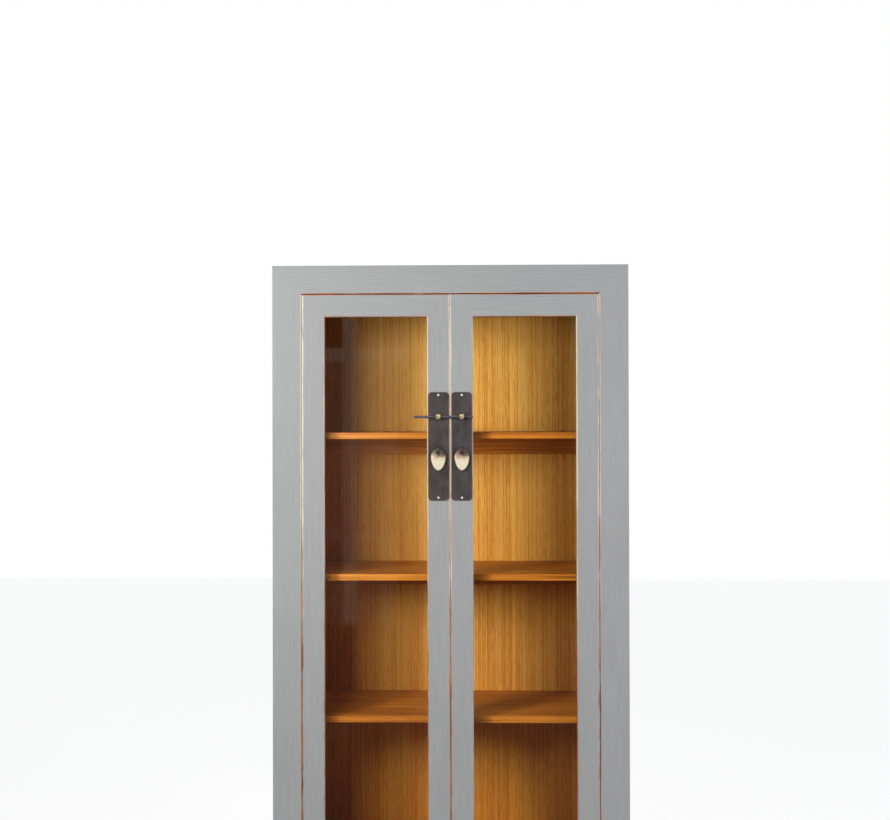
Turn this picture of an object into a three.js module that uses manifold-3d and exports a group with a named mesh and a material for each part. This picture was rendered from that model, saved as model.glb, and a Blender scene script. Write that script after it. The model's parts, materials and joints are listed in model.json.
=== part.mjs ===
import * as THREE from "three";
import { mergeVertices } from "three/addons/utils/BufferGeometryUtils.js";
import Module from "manifold-3d";

// A tall two-door display cabinet: a grey lacquered frame-and-panel carcass, four honey-coloured
// shelves, and two glazed doors on wooden pivots, locked by a sliding pin through two brass eyes.
// Millimetres. +X is to the right, +Y to the back and +Z up, as seen by someone facing the doors.
// The origin is on the floor, under the middle of the whole cabinet with its hardware.

// Carcass
const WIDTH = 800;
const DEPTH = 350;
const HEIGHT = 1800;
const POST_FACE = 64;
const POST_DEPTH = 42;
const REAR_POST_WIDTH = 40;
const REAR_POST_DEPTH = 40;
const TOP_RAIL_HEIGHT = 64;
const BOTTOM_RAIL_HEIGHT = 64;
const FOOT_HEIGHT = 70;
const SIDE_RAIL_THICKNESS = 28;
const REAR_RAIL_THICKNESS = 28;
const CARCASS_ARRIS = 2;

// Joints between the wooden members
const TENON_THICKNESS = 10;
const TENON_LENGTH = 17;
const TENON_SHOULDER = 16;
const MITRE_DEPTH = 9;
const MITRE_SLACK = 0.2;
const JOINT_CLEARANCE = 0.3;

// Panels that float in grooves
const SIDE_PANEL_THICKNESS = 12;
const SIDE_PANEL_RECESS = 8;
const TOP_PANEL_THICKNESS = 12;
const TOP_PANEL_RECESS = 5;
const BACK_PANEL_THICKNESS = 8;
const BACK_PANEL_RECESS = 5;
const PANEL_TONGUE = 6;
const FLOOR_THICKNESS = 15;
const FLOOR_TONGUE = 4;

// Shelves and what carries them
const SHELF_COUNT = 4;
const FIRST_SHELF_BELOW_TOP = 376;
const SHELF_THICKNESS = 15;
const SHELF_SIDE_PLAY = 0.5;
const SHELF_FRONT_GAP = 1;
const SHELF_RAIL_HEIGHT = 42;
const SHELF_RAIL_THICKNESS = 18;
const SHELF_TENON_THICKNESS = 8;
const SHELF_TENON_LENGTH = 12;
const SHELF_TENON_SHOULDER = 9;
const CLEAT_WIDTH = 20;
const CLEAT_HEIGHT = 20;

// Doors
const SIDE_GAP = 3;
const CENTRE_GAP = 3;
const TOP_GAP = 4;
const BOTTOM_GAP = 4;
const DOOR_THICKNESS = 24;
const DOOR_STILE = 50;
const DOOR_RAIL = 48;
const DOOR_ARRIS = 2;
const DOOR_TENON_THICKNESS = 8;
const DOOR_TENON_LENGTH = 26;
const DOOR_TENON_SHOULDER = 12;
const RABBET_WIDTH = 9;
const RABBET_LIP = 11;
const GLASS_THICKNESS = 4;
const GLASS_PLAY = 1.5;
const BEAD_SHY = 0.5;
const PIVOT_RADIUS = 5;
const PIVOT_PLAY = 0.5;
const PIVOT_FROM_EDGE = 14;
const PIVOT_FROM_FRONT = 10;
const PIVOT_REACH = 12;

// Strip that stops the doors at the top
const STOP_GAP = 1;
const STOP_THICKNESS = 12;
const STOP_OVERLAP = 24;
const STOP_DROP = 20;
const STOP_END_CLEARANCE = 5;

// Face plates and their nails
const PLATE_WIDTH = 46;
const PLATE_HEIGHT = 244;
const PLATE_THICKNESS = 1.5;
const PLATE_CORNER = 6.5;
const PLATE_BELOW_DOOR_TOP = 217;
const NAIL_INSET = 6.8;
const NAIL_HEAD_RADIUS = 2.6;
const NAIL_HEAD_HEIGHT = 1.3;
const NAIL_SHANK_RADIUS = 0.9;
const NAIL_LENGTH = 14;
const NAIL_POINT = 2;

// Brass eyes and the sliding pin
const EYE_BELOW_PLATE_TOP = 55.4;
const EYE_WIDTH = 12;
const EYE_RADIUS = 7;
const EYE_WAIST = 0.9;
const EYE_LEG_WIDTH = 8;
const EYE_LEG_THICKNESS = 3.2;
const CLINCH_THICKNESS = 1.5;
const CLINCH_REACH = 9;
const PIN_RADIUS = 2.9;
const PIN_PLAY = 0.9;
const PIN_TAIL = 54;
const PIN_TIP = 25.5;
const PIN_TAPER = 16;
const PIN_TIP_RADIUS = 2;
const PIN_ROUNDING = 1;

// Teardrop pulls and their wire staples
const PULL_HOLE_BELOW_PLATE_TOP = 135.2;
const PULL_WIDTH = 33.6;
const PULL_HEIGHT = 51.5;
const PULL_THICKNESS = 1.8;
const PULL_DOME_RADIUS = 80;
const PULL_HOLE_BELOW_TOP = 9.1;
const PULL_HOLE_RADIUS = 2.2;
const PULL_WIDEST_SHARE = 0.41;
const PULL_TOP_POWER = 2;
const PULL_TIP_POWER = 1.6;
const WIRE_RADIUS = 1;
const RING_RADIUS = 5.5;
const RING_STANDOFF = 6.8;
const SHANK_RADIUS = 1.6;
const SHANK_CLINCH_REACH = 5;

// Small clearance between pieces that rest on each other, and how far a cut runs past its piece
const SEAT_GAP = 0.3;
const OVERRUN = 5;

// Facets
const ARRIS_STEPS = 3;
const ROUND_SIDES = 24;
const SMALL_SIDES = 12;
const PULL_POINTS = 40;
const DOME_SIDES = 32;
const DOME_RINGS = 40;
const CORNER_STEPS = 4;
const MERGE_TOLERANCE = 1e-4;

// Places that follow from those sizes
const HARDWARE_REACH = PLATE_THICKNESS + 2 * EYE_RADIUS;
const FRONT_Y = (HARDWARE_REACH - DEPTH) / 2;
const BACK_Y = FRONT_Y + DEPTH;
const OUTER_X = WIDTH / 2;
const POST_X = OUTER_X - POST_FACE;
const REAR_POST_X = OUTER_X - REAR_POST_WIDTH;
const REAR_POST_Y = BACK_Y - REAR_POST_DEPTH;
const REAR_RAIL_Y = BACK_Y - REAR_RAIL_THICKNESS;
const SIDE_RAIL_X = OUTER_X - SIDE_RAIL_THICKNESS;
const FRONT_RAIL_Y = behindFront(DOOR_THICKNESS + STOP_GAP);
const FLOOR_TOP = FOOT_HEIGHT + BOTTOM_RAIL_HEIGHT;
const OPENING_TOP = HEIGHT - TOP_RAIL_HEIGHT;
const SIDE_PANEL_X = OUTER_X - SIDE_PANEL_RECESS - SIDE_PANEL_THICKNESS;
const BACK_PANEL_Y = BACK_Y - BACK_PANEL_RECESS - BACK_PANEL_THICKNESS;
const FIRST_SHELF_TOP = HEIGHT - FIRST_SHELF_BELOW_TOP;
const SHELF_PITCH = (FIRST_SHELF_TOP - FLOOR_TOP) / SHELF_COUNT;
const DOOR_WIDTH = (WIDTH - CENTRE_GAP) / 2 - POST_FACE - SIDE_GAP;
const DOOR_BOTTOM = FLOOR_TOP + BOTTOM_GAP;
const DOOR_TOP = OPENING_TOP - TOP_GAP;
const DOOR_FREE_X = CENTRE_GAP / 2;
const DOOR_HINGE_X = DOOR_FREE_X + DOOR_WIDTH;
const DOOR_BACK_Y = behindFront(DOOR_THICKNESS);
const PIVOT_X = DOOR_HINGE_X - PIVOT_FROM_EDGE;
const PIVOT_Y = behindFront(PIVOT_FROM_FRONT);
const PLATE_X = DOOR_FREE_X + DOOR_STILE / 2;
const PLATE_TOP = DOOR_TOP - PLATE_BELOW_DOOR_TOP;
const PLATE_Y = FRONT_Y - PLATE_THICKNESS;
const EYE_Y = PLATE_Y - EYE_RADIUS;
const EYE_Z = PLATE_TOP - EYE_BELOW_PLATE_TOP;
const EYE_BORE = PIN_RADIUS + PIN_PLAY;
const RING_Y = PLATE_Y - RING_STANDOFF;
const PULL_HOLE_Z = PLATE_TOP - PULL_HOLE_BELOW_PLATE_TOP;
const RING_Z = PULL_HOLE_Z + PULL_HOLE_RADIUS - WIRE_RADIUS - SEAT_GAP + RING_RADIUS;
const ALL_Y = [FRONT_Y - OVERRUN, BACK_Y + OVERRUN];

const SIDES = [
  { name: "left", sign: -1 },
  { name: "right", sign: 1 },
];

const X_AXIS = new THREE.Vector3(1, 0, 0);
const Y_AXIS = new THREE.Vector3(0, 1, 0);
const Z_AXIS = new THREE.Vector3(0, 0, 1);

const wasm = await Module();
wasm.setup();

// Materials

function greyPaint() {
  return new THREE.MeshStandardMaterial({ color: 0xa9abab, roughness: 0.5, metalness: 0 });
}

function honeyWood() {
  return new THREE.MeshStandardMaterial({ color: 0xc08040, roughness: 0.45, metalness: 0 });
}

function shelfWood() {
  return new THREE.MeshStandardMaterial({ color: 0xb4662a, roughness: 0.4, metalness: 0 });
}

function darkBronze() {
  return new THREE.MeshStandardMaterial({ color: 0x4f4a48, roughness: 0.55, metalness: 0.8 });
}

function polishedBrass() {
  return new THREE.MeshStandardMaterial({ color: 0xd9b878, roughness: 0.25, metalness: 1 });
}

function darkSteel() {
  return new THREE.MeshStandardMaterial({ color: 0x55565c, roughness: 0.35, metalness: 1 });
}

function clearGlass() {
  return new THREE.MeshStandardMaterial({
    color: 0xe8f0ee, roughness: 0.05, metalness: 0, transparent: true, opacity: 0.25,
  });
}

// Spans and boxes

function behindFront(distance) {
  return FRONT_Y + distance;
}

function sideSpan(sign, inner, outer) {
  return sign < 0 ? [-outer, -inner] : [inner, outer];
}

function grown(span, by) {
  return [span[0] - by, span[1] + by];
}

function middleSpan(span, thickness) {
  const middle = (span[0] + span[1]) / 2;
  return [middle - thickness / 2, middle + thickness / 2];
}

function grownBox(box, by) {
  return { x: grown(box.x, by), y: grown(box.y, by), z: grown(box.z, by) };
}

// Solids from three.js geometry, and meshes from solids

function solidFrom(geometry) {
  geometry.deleteAttribute("normal");
  geometry.deleteAttribute("uv");
  const merged = mergeVertices(geometry, MERGE_TOLERANCE);
  return new wasm.Manifold(new wasm.Mesh({
    numProp: 3,
    vertProperties: new Float32Array(merged.attributes.position.array),
    triVerts: new Uint32Array(merged.index.array),
  }));
}

function meshFrom(name, solid, material) {
  const cut = solid.getMesh();
  const geometry = new THREE.BufferGeometry();
  geometry.setAttribute("position", new THREE.BufferAttribute(cut.vertProperties, 3));
  geometry.setIndex(new THREE.BufferAttribute(cut.triVerts, 1));
  geometry.computeVertexNormals();
  const mesh = new THREE.Mesh(geometry, material);
  mesh.name = name;
  return mesh;
}

function block({ x, y, z }) {
  const geometry = new THREE.BoxGeometry(x[1] - x[0], y[1] - y[0], z[1] - z[0]);
  geometry.translate((x[0] + x[1]) / 2, (y[0] + y[1]) / 2, (z[0] + z[1]) / 2);
  return solidFrom(geometry);
}

function cutBy(solid, cutters) {
  return cutters.reduce((left, cutter) => left.subtract(cutter), solid);
}

function looseBlocks(boxes, clearance = JOINT_CLEARANCE) {
  return boxes.map((box) => block(grownBox(box, clearance)));
}

function rectangle(u, v) {
  return [[u[0], v[0]], [u[1], v[0]], [u[1], v[1]], [u[0], v[1]]];
}

function shapeOf(outline, hole) {
  const shape = new THREE.Shape(outline.map(([u, v]) => new THREE.Vector2(u, v)));
  if (hole) {
    shape.holes.push(new THREE.Path(hole.map(([u, v]) => new THREE.Vector2(u, v))));
  }
  return shape;
}

function extrusion(shape, span, arris) {
  return new THREE.ExtrudeGeometry(shape, {
    depth: span[1] - span[0] - 2 * arris,
    bevelEnabled: arris > 0,
    bevelThickness: arris,
    bevelSize: arris,
    bevelOffset: -arris,
    bevelSegments: ARRIS_STEPS,
    curveSegments: CORNER_STEPS,
  });
}

// A shape drawn in the front view, in x and z, carried through a span of y
function fromFront(shape, y, arris = 0) {
  const geometry = extrusion(shape, y, arris);
  geometry.applyMatrix4(new THREE.Matrix4().makeBasis(X_AXIS, Z_AXIS, Y_AXIS.clone().negate()));
  geometry.translate(0, y[1] - arris, 0);
  return solidFrom(geometry);
}

// A shape drawn in the side view, in y and z, carried through a span of x
function fromSide(shape, x, arris = 0) {
  const geometry = extrusion(shape, x, arris);
  geometry.applyMatrix4(new THREE.Matrix4().makeBasis(Y_AXIS, Z_AXIS, X_AXIS));
  geometry.translate(x[0] + arris, 0, 0);
  return solidFrom(geometry);
}

// A round bar along y
function barAlongY(x, y, z, radius, sides) {
  const geometry = new THREE.CylinderGeometry(radius, radius, y[1] - y[0], sides);
  geometry.translate(x, (y[0] + y[1]) / 2, z);
  return solidFrom(geometry);
}

// A round bar along z
function barAlongZ(x, y, z, radius, sides) {
  const geometry = new THREE.CylinderGeometry(radius, radius, z[1] - z[0], sides);
  geometry.applyMatrix4(new THREE.Matrix4().makeBasis(X_AXIS, Z_AXIS, Y_AXIS.clone().negate()));
  geometry.translate(x, y, (z[0] + z[1]) / 2);
  return solidFrom(geometry);
}

// A profile of radius and distance turned about an axis parallel to x
function turnedAlongX(profile, y, z, sides) {
  const points = profile.map(([radius, along]) => new THREE.Vector2(radius, along));
  const geometry = new THREE.LatheGeometry(points, sides);
  geometry.applyMatrix4(new THREE.Matrix4().makeBasis(Y_AXIS, X_AXIS, Z_AXIS.clone().negate()));
  geometry.translate(0, y, z);
  return solidFrom(geometry);
}

// The rail's side of a mitre that runs from an inner corner to an outer one, in the front face
// only. Slack moves the mitre line towards the upright, which makes the socket for the rail.
function mitre(inner, outer, slack = 0) {
  const outwards = Math.sign(outer.x - inner.x);
  const upwards = Math.sign(outer.z - inner.z);
  const farZ = outer.z + upwards * OVERRUN;
  const outline = [
    [inner.x + outwards * slack, inner.z],
    [outer.x + outwards * slack, outer.z],
    [outer.x + outwards * slack, farZ],
    [inner.x - outwards * OVERRUN, farZ],
    [inner.x - outwards * OVERRUN, inner.z],
  ];
  return fromFront(shapeOf(outline), [FRONT_Y - OVERRUN, behindFront(MITRE_DEPTH) + slack]);
}

// Carcass frame

// Uprights joined by a top and a bottom rail, on feet, as seen from the front or from a side
function framedOutline(outer, inner) {
  const outline = [
    [outer[0], 0],
    [inner[0], 0],
    [inner[0], FOOT_HEIGHT],
    [inner[1], FOOT_HEIGHT],
    [inner[1], 0],
    [outer[1], 0],
    [outer[1], HEIGHT],
    [outer[0], HEIGHT],
  ];
  return shapeOf(outline, rectangle(inner, [FLOOR_TOP, OPENING_TOP]));
}

// The whole frame with its eased arrises, from which posts and rails are taken
function carcassFraming() {
  const front = framedOutline([-OUTER_X, OUTER_X], [-POST_X, POST_X]);
  const side = framedOutline([FRONT_Y, BACK_Y], [behindFront(POST_DEPTH), REAR_POST_Y]);
  const seenFromFront = fromFront(front, [FRONT_Y, BACK_Y], CARCASS_ARRIS);
  const seenFromSide = fromSide(side, [-OUTER_X, OUTER_X], CARCASS_ARRIS);
  return seenFromFront.intersect(seenFromSide);
}

function railHeights() {
  return [
    { level: "top", z: [OPENING_TOP, HEIGHT] },
    { level: "bottom", z: [FOOT_HEIGHT, FLOOR_TOP] },
  ];
}

function carcassRails() {
  const rails = [];
  for (const { level, z } of railHeights()) {
    rails.push({
      name: `front_${level}_rail`,
      along: "x",
      box: { x: [-POST_X, POST_X], y: [FRONT_Y, FRONT_RAIL_Y], z },
    });
    rails.push({
      name: `rear_${level}_rail`,
      along: "x",
      box: { x: [-REAR_POST_X, REAR_POST_X], y: [REAR_RAIL_Y, BACK_Y], z },
    });
    for (const { name, sign } of SIDES) {
      rails.push({
        name: `${name}_${level}_rail`,
        along: "y",
        box: {
          x: sideSpan(sign, SIDE_RAIL_X, OUTER_X),
          y: [behindFront(POST_DEPTH), REAR_POST_Y],
          z,
        },
      });
    }
  }
  return rails;
}

function shelfTops() {
  return Array.from({ length: SHELF_COUNT }, (_, index) => FIRST_SHELF_TOP - index * SHELF_PITCH);
}

function shelfRails() {
  return shelfTops().map((top, index) => ({
    name: `rear_shelf_rail_${index + 1}`,
    along: "x",
    box: {
      x: [-REAR_POST_X, REAR_POST_X],
      y: [BACK_PANEL_Y - SHELF_RAIL_THICKNESS, BACK_PANEL_Y],
      z: [top - SHELF_THICKNESS - SHELF_RAIL_HEIGHT, top - SHELF_THICKNESS],
    },
  }));
}

// One bar that runs through a rail and stands out of both its ends as tenons
function tenonBar({ along, box }, thickness, length, shoulder) {
  const z = grown(box.z, -shoulder);
  if (along === "x") {
    return { x: grown(box.x, length), y: middleSpan(box.y, thickness), z };
  }
  return { x: middleSpan(box.x, thickness), y: grown(box.y, length), z };
}

function carcassTenons() {
  const frame = carcassRails().map(
    (rail) => tenonBar(rail, TENON_THICKNESS, TENON_LENGTH, TENON_SHOULDER));
  const shelves = shelfRails().map(
    (rail) => tenonBar(rail, SHELF_TENON_THICKNESS, SHELF_TENON_LENGTH, SHELF_TENON_SHOULDER));
  return [...frame, ...shelves];
}

function postBoxes() {
  const boxes = [];
  for (const { name, sign } of SIDES) {
    boxes.push({
      name: `front_${name}_post`,
      box: {
        x: sideSpan(sign, POST_X, OUTER_X),
        y: [FRONT_Y, behindFront(POST_DEPTH)],
        z: [0, HEIGHT],
      },
    });
    boxes.push({
      name: `rear_${name}_post`,
      box: {
        x: sideSpan(sign, REAR_POST_X, OUTER_X),
        y: [REAR_POST_Y, BACK_Y],
        z: [0, HEIGHT],
      },
    });
  }
  return boxes;
}

function sidePanelBox(sign) {
  return {
    x: sideSpan(sign, SIDE_PANEL_X, SIDE_PANEL_X + SIDE_PANEL_THICKNESS),
    y: grown([behindFront(POST_DEPTH), REAR_POST_Y], PANEL_TONGUE),
    z: grown([FLOOR_TOP, OPENING_TOP], PANEL_TONGUE),
  };
}

function backPanelBox() {
  return {
    x: grown([-REAR_POST_X, REAR_POST_X], PANEL_TONGUE),
    y: [BACK_PANEL_Y, BACK_PANEL_Y + BACK_PANEL_THICKNESS],
    z: grown([FLOOR_TOP, OPENING_TOP], PANEL_TONGUE),
  };
}

function topPanelBox() {
  const top = HEIGHT - TOP_PANEL_RECESS;
  return {
    x: grown([-SIDE_RAIL_X, SIDE_RAIL_X], PANEL_TONGUE),
    y: grown([FRONT_RAIL_Y, REAR_RAIL_Y], PANEL_TONGUE),
    z: [top - TOP_PANEL_THICKNESS, top],
  };
}

function floorBox() {
  return {
    x: grown([-SIDE_RAIL_X, SIDE_RAIL_X], FLOOR_TONGUE),
    y: grown([FRONT_RAIL_Y, REAR_RAIL_Y], FLOOR_TONGUE),
    z: [FLOOR_TOP - FLOOR_THICKNESS, FLOOR_TOP],
  };
}

// Where the face of the front top rail is mitred to the posts
function topRailMitres(slack) {
  return SIDES.map(({ sign }) => mitre(
    { x: sign * POST_X, z: OPENING_TOP },
    { x: sign * OUTER_X, z: HEIGHT },
    slack,
  ));
}

function pivotSockets() {
  const play = PIVOT_RADIUS + PIVOT_PLAY;
  const upper = [OPENING_TOP - OVERRUN, OPENING_TOP + PIVOT_REACH + SEAT_GAP];
  const lower = [FLOOR_TOP - PIVOT_REACH - SEAT_GAP, FLOOR_TOP + OVERRUN];
  return SIDES.flatMap(({ sign }) => [upper, lower].map(
    (z) => barAlongZ(sign * PIVOT_X, PIVOT_Y, z, play, ROUND_SIDES)));
}

function panelHousings() {
  return looseBlocks([sidePanelBox(-1), sidePanelBox(1), backPanelBox()]);
}

function posts(framing) {
  const cutters = [
    ...looseBlocks(carcassTenons()),
    ...panelHousings(),
    ...topRailMitres(MITRE_SLACK),
  ];
  return postBoxes().map(
    ({ name, box }) => meshFrom(name, cutBy(framing.intersect(block(box)), cutters), greyPaint()));
}

function rails(framing) {
  const cutters = [
    ...panelHousings(),
    ...looseBlocks([topPanelBox(), floorBox()]),
    ...pivotSockets(),
  ];
  return carcassRails().map((rail) => {
    const bar = block(tenonBar(rail, TENON_THICKNESS, TENON_LENGTH, TENON_SHOULDER));
    const mitres = rail.name === "front_top_rail" ? topRailMitres(0) : [];
    const body = mitres.reduce((whole, horn) => whole.add(horn), block(rail.box));
    return meshFrom(rail.name, cutBy(framing.intersect(body).add(bar), cutters), greyPaint());
  });
}

// Panels, floor, shelves and their supports

function panels() {
  const postsInTheWay = looseBlocks(postBoxes().map(({ box }) => box));
  const top = cutBy(block(topPanelBox()), postsInTheWay);
  const floor = cutBy(block(floorBox()), postsInTheWay);
  return [
    meshFrom("top_panel", top, greyPaint()),
    meshFrom("floor_board", floor, shelfWood()),
    meshFrom("left_side_panel", block(sidePanelBox(-1)), greyPaint()),
    meshFrom("right_side_panel", block(sidePanelBox(1)), greyPaint()),
    meshFrom("back_panel", block(backPanelBox()), honeyWood()),
  ];
}

function shelves() {
  const postsInTheWay = looseBlocks(postBoxes().map(({ box }) => box));
  return shelfTops().map((top, index) => {
    const board = block({
      x: grown([-SIDE_PANEL_X, SIDE_PANEL_X], -SHELF_SIDE_PLAY),
      y: [behindFront(POST_DEPTH) + SHELF_FRONT_GAP, BACK_PANEL_Y - SHELF_SIDE_PLAY],
      z: [top - SHELF_THICKNESS, top],
    });
    return meshFrom(`shelf_${index + 1}`, cutBy(board, postsInTheWay), shelfWood());
  });
}

function shelfSupports() {
  const pieces = shelfRails().map((rail) => {
    const bar = tenonBar(rail, SHELF_TENON_THICKNESS, SHELF_TENON_LENGTH, SHELF_TENON_SHOULDER);
    return meshFrom(rail.name, block(rail.box).add(block(bar)), shelfWood());
  });
  shelfTops().forEach((top, index) => {
    const underside = top - SHELF_THICKNESS;
    for (const { name, sign } of SIDES) {
      const cleat = block({
        x: sideSpan(sign, SIDE_PANEL_X - CLEAT_WIDTH, SIDE_PANEL_X),
        y: [behindFront(POST_DEPTH), REAR_POST_Y],
        z: [underside - CLEAT_HEIGHT, underside],
      });
      pieces.push(meshFrom(`${name}_shelf_cleat_${index + 1}`, cleat, shelfWood()));
    }
  });
  return pieces;
}

// A strip on the back of the front top rail, kept clear of the corners that the doors swing back
function doorStop() {
  const sweep = Math.hypot(PIVOT_FROM_EDGE, DOOR_THICKNESS - PIVOT_FROM_FRONT);
  const reach = PIVOT_X - sweep - STOP_END_CLEARANCE;
  const strip = block({
    x: [-reach, reach],
    y: [FRONT_RAIL_Y, FRONT_RAIL_Y + STOP_THICKNESS],
    z: [OPENING_TOP - STOP_DROP, OPENING_TOP + STOP_OVERLAP],
  });
  return meshFrom("upper_door_stop", strip, shelfWood());
}

// Doors

function doorSpans(sign) {
  return {
    sign,
    x: sideSpan(sign, DOOR_FREE_X, DOOR_HINGE_X),
    z: [DOOR_BOTTOM, DOOR_TOP],
    openX: sideSpan(sign, DOOR_FREE_X + DOOR_STILE, DOOR_HINGE_X - DOOR_STILE),
    openZ: [DOOR_BOTTOM + DOOR_RAIL, DOOR_TOP - DOOR_RAIL],
    hingeX: sideSpan(sign, DOOR_HINGE_X - DOOR_STILE, DOOR_HINGE_X),
    meetingX: sideSpan(sign, DOOR_FREE_X, DOOR_FREE_X + DOOR_STILE),
  };
}

// The four members of a door as one eased ring with its rabbet for the glass
function doorRing(spans) {
  const shape = shapeOf(rectangle(spans.x, spans.z), rectangle(spans.openX, spans.openZ));
  const ring = fromFront(shape, [FRONT_Y, DOOR_BACK_Y], DOOR_ARRIS);
  const rabbet = block({
    x: grown(spans.openX, RABBET_WIDTH),
    y: [behindFront(RABBET_LIP), DOOR_BACK_Y + OVERRUN],
    z: grown(spans.openZ, RABBET_WIDTH),
  });
  return ring.subtract(rabbet);
}

function doorMitres(spans, level, slack) {
  return [0, 1].map((end) => mitre(
    { x: spans.openX[end], z: spans.openZ[level] },
    { x: spans.x[end], z: spans.z[level] },
    slack,
  ));
}

function doorRailBox(spans, level) {
  const z = level === 0 ? [spans.z[0], spans.openZ[0]] : [spans.openZ[1], spans.z[1]];
  return { x: spans.openX, y: [FRONT_Y, DOOR_BACK_Y], z };
}

function pivotDowel(sign, radius) {
  const z = [FLOOR_TOP - PIVOT_REACH, OPENING_TOP + PIVOT_REACH];
  return barAlongZ(sign * PIVOT_X, PIVOT_Y, z, radius, ROUND_SIDES);
}

// The tenons lie behind the mitred face
function doorTenonBox(spans, level) {
  const box = doorRailBox(spans, level);
  const front = behindFront(RABBET_LIP);
  return {
    x: grown(box.x, DOOR_TENON_LENGTH),
    y: [front, front + DOOR_TENON_THICKNESS],
    z: grown(box.z, -DOOR_TENON_SHOULDER),
  };
}

function doorStile(ring, spans, x) {
  const cutters = [0, 1].flatMap((level) => [
    ...doorMitres(spans, level, MITRE_SLACK),
    ...looseBlocks([doorTenonBox(spans, level)]),
  ]);
  return cutBy(ring.intersect(block({ x, y: ALL_Y, z: spans.z })), cutters);
}

// The pivot dowel passes behind the outer mitre, so the rail is bored for it
function doorRail(ring, spans, level) {
  const body = doorMitres(spans, level, 0).reduce(
    (whole, horn) => whole.add(horn), block(doorRailBox(spans, level)));
  return ring
    .intersect(body)
    .add(block(doorTenonBox(spans, level)))
    .subtract(pivotDowel(spans.sign, PIVOT_RADIUS + JOINT_CLEARANCE));
}

function glassPane(spans) {
  const front = behindFront(RABBET_LIP);
  return block({
    x: grown(spans.openX, RABBET_WIDTH - GLASS_PLAY),
    y: [front, front + GLASS_THICKNESS],
    z: grown(spans.openZ, RABBET_WIDTH - GLASS_PLAY),
  });
}

function glazingBead(spans) {
  const reach = RABBET_WIDTH - JOINT_CLEARANCE;
  const outline = rectangle(grown(spans.openX, reach), grown(spans.openZ, reach));
  const front = behindFront(RABBET_LIP + GLASS_THICKNESS + SEAT_GAP);
  const shape = shapeOf(outline, rectangle(spans.openX, spans.openZ));
  return fromFront(shape, [front, DOOR_BACK_Y - BEAD_SHY]);
}


// Hardware

function nailHeights() {
  return [
    { level: "upper", z: PLATE_TOP - NAIL_INSET },
    { level: "lower", z: PLATE_TOP - PLATE_HEIGHT + NAIL_INSET },
  ];
}

function nail(x, z) {
  const rise = Array.from({ length: CORNER_STEPS + 1 }, (_, step) => {
    const angle = (Math.PI / 2) * (1 - step / CORNER_STEPS);
    return new THREE.Vector2(
      NAIL_HEAD_RADIUS * Math.cos(angle), -NAIL_HEAD_HEIGHT * Math.sin(angle));
  });
  rise[0].x = 0;
  rise[CORNER_STEPS].y = 0;
  const profile = [
    ...rise,
    new THREE.Vector2(NAIL_SHANK_RADIUS, 0),
    new THREE.Vector2(NAIL_SHANK_RADIUS, NAIL_LENGTH - NAIL_POINT),
    new THREE.Vector2(0, NAIL_LENGTH),
  ];
  const geometry = new THREE.LatheGeometry(profile, SMALL_SIDES);
  geometry.translate(x, PLATE_Y, z);
  return solidFrom(geometry);
}

function nailHole(x, z) {
  const y = [PLATE_Y - OVERRUN, PLATE_Y + NAIL_LENGTH + SEAT_GAP];
  return barAlongY(x, y, z, NAIL_SHANK_RADIUS + SEAT_GAP, SMALL_SIDES);
}

function eyeLegBox(x) {
  return {
    x: middleSpan([x, x], EYE_LEG_WIDTH),
    y: [EYE_Y + (EYE_BORE + EYE_RADIUS) / 2, DOOR_BACK_Y + SEAT_GAP + CLINCH_THICKNESS],
    z: middleSpan([EYE_Z, EYE_Z], EYE_LEG_THICKNESS),
  };
}

// A brass strip bent into an eye, its legs driven through the stile and bent over behind it
function pinEye(x) {
  const outer = Array.from({ length: CORNER_STEPS + 1 }, (_, step) => {
    const along = (2 * step) / CORNER_STEPS - 1;
    return [EYE_RADIUS - EYE_WAIST * (1 - along * along), x + (along * EYE_WIDTH) / 2];
  });
  const inner = [[EYE_BORE, x + EYE_WIDTH / 2], [EYE_BORE, x - EYE_WIDTH / 2]];
  const profile = [...outer, ...inner, outer[0]];
  const ring = turnedAlongX(profile, EYE_Y, EYE_Z, ROUND_SIDES);
  const leg = eyeLegBox(x);
  const clinch = {
    x: leg.x,
    y: [DOOR_BACK_Y + SEAT_GAP, leg.y[1]],
    z: middleSpan(leg.z, 2 * CLINCH_REACH),
  };
  return ring.add(block(leg)).add(block(clinch));
}

// A wire ring on a shank that goes through the stile and is bent over behind it
function pullStaple(x) {
  const geometry = new THREE.TorusGeometry(RING_RADIUS, WIRE_RADIUS, SMALL_SIDES, ROUND_SIDES);
  geometry.applyMatrix4(new THREE.Matrix4().makeBasis(Y_AXIS, Z_AXIS, X_AXIS));
  geometry.translate(x, RING_Y, RING_Z);
  const shankY = [RING_Y + RING_RADIUS, DOOR_BACK_Y + SEAT_GAP + CLINCH_THICKNESS];
  const clinch = block({
    x: middleSpan([x, x], 2 * SHANK_RADIUS),
    y: [DOOR_BACK_Y + SEAT_GAP, shankY[1]],
    z: middleSpan([RING_Z, RING_Z], 2 * SHANK_CLINCH_REACH),
  });
  return solidFrom(geometry)
    .add(barAlongY(x, shankY, RING_Z, SHANK_RADIUS, SMALL_SIDES))
    .add(clinch);
}

function shankHole(x) {
  const y = [PLATE_Y - OVERRUN, DOOR_BACK_Y + OVERRUN];
  return barAlongY(x, y, RING_Z, SHANK_RADIUS + SEAT_GAP, SMALL_SIDES);
}

// What the plate and the stile behind it are pierced for
function hardwareHoles(x) {
  return [
    ...looseBlocks([eyeLegBox(x)], SEAT_GAP),
    shankHole(x),
    ...nailHeights().map(({ z }) => nailHole(x, z)),
  ];
}

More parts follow.
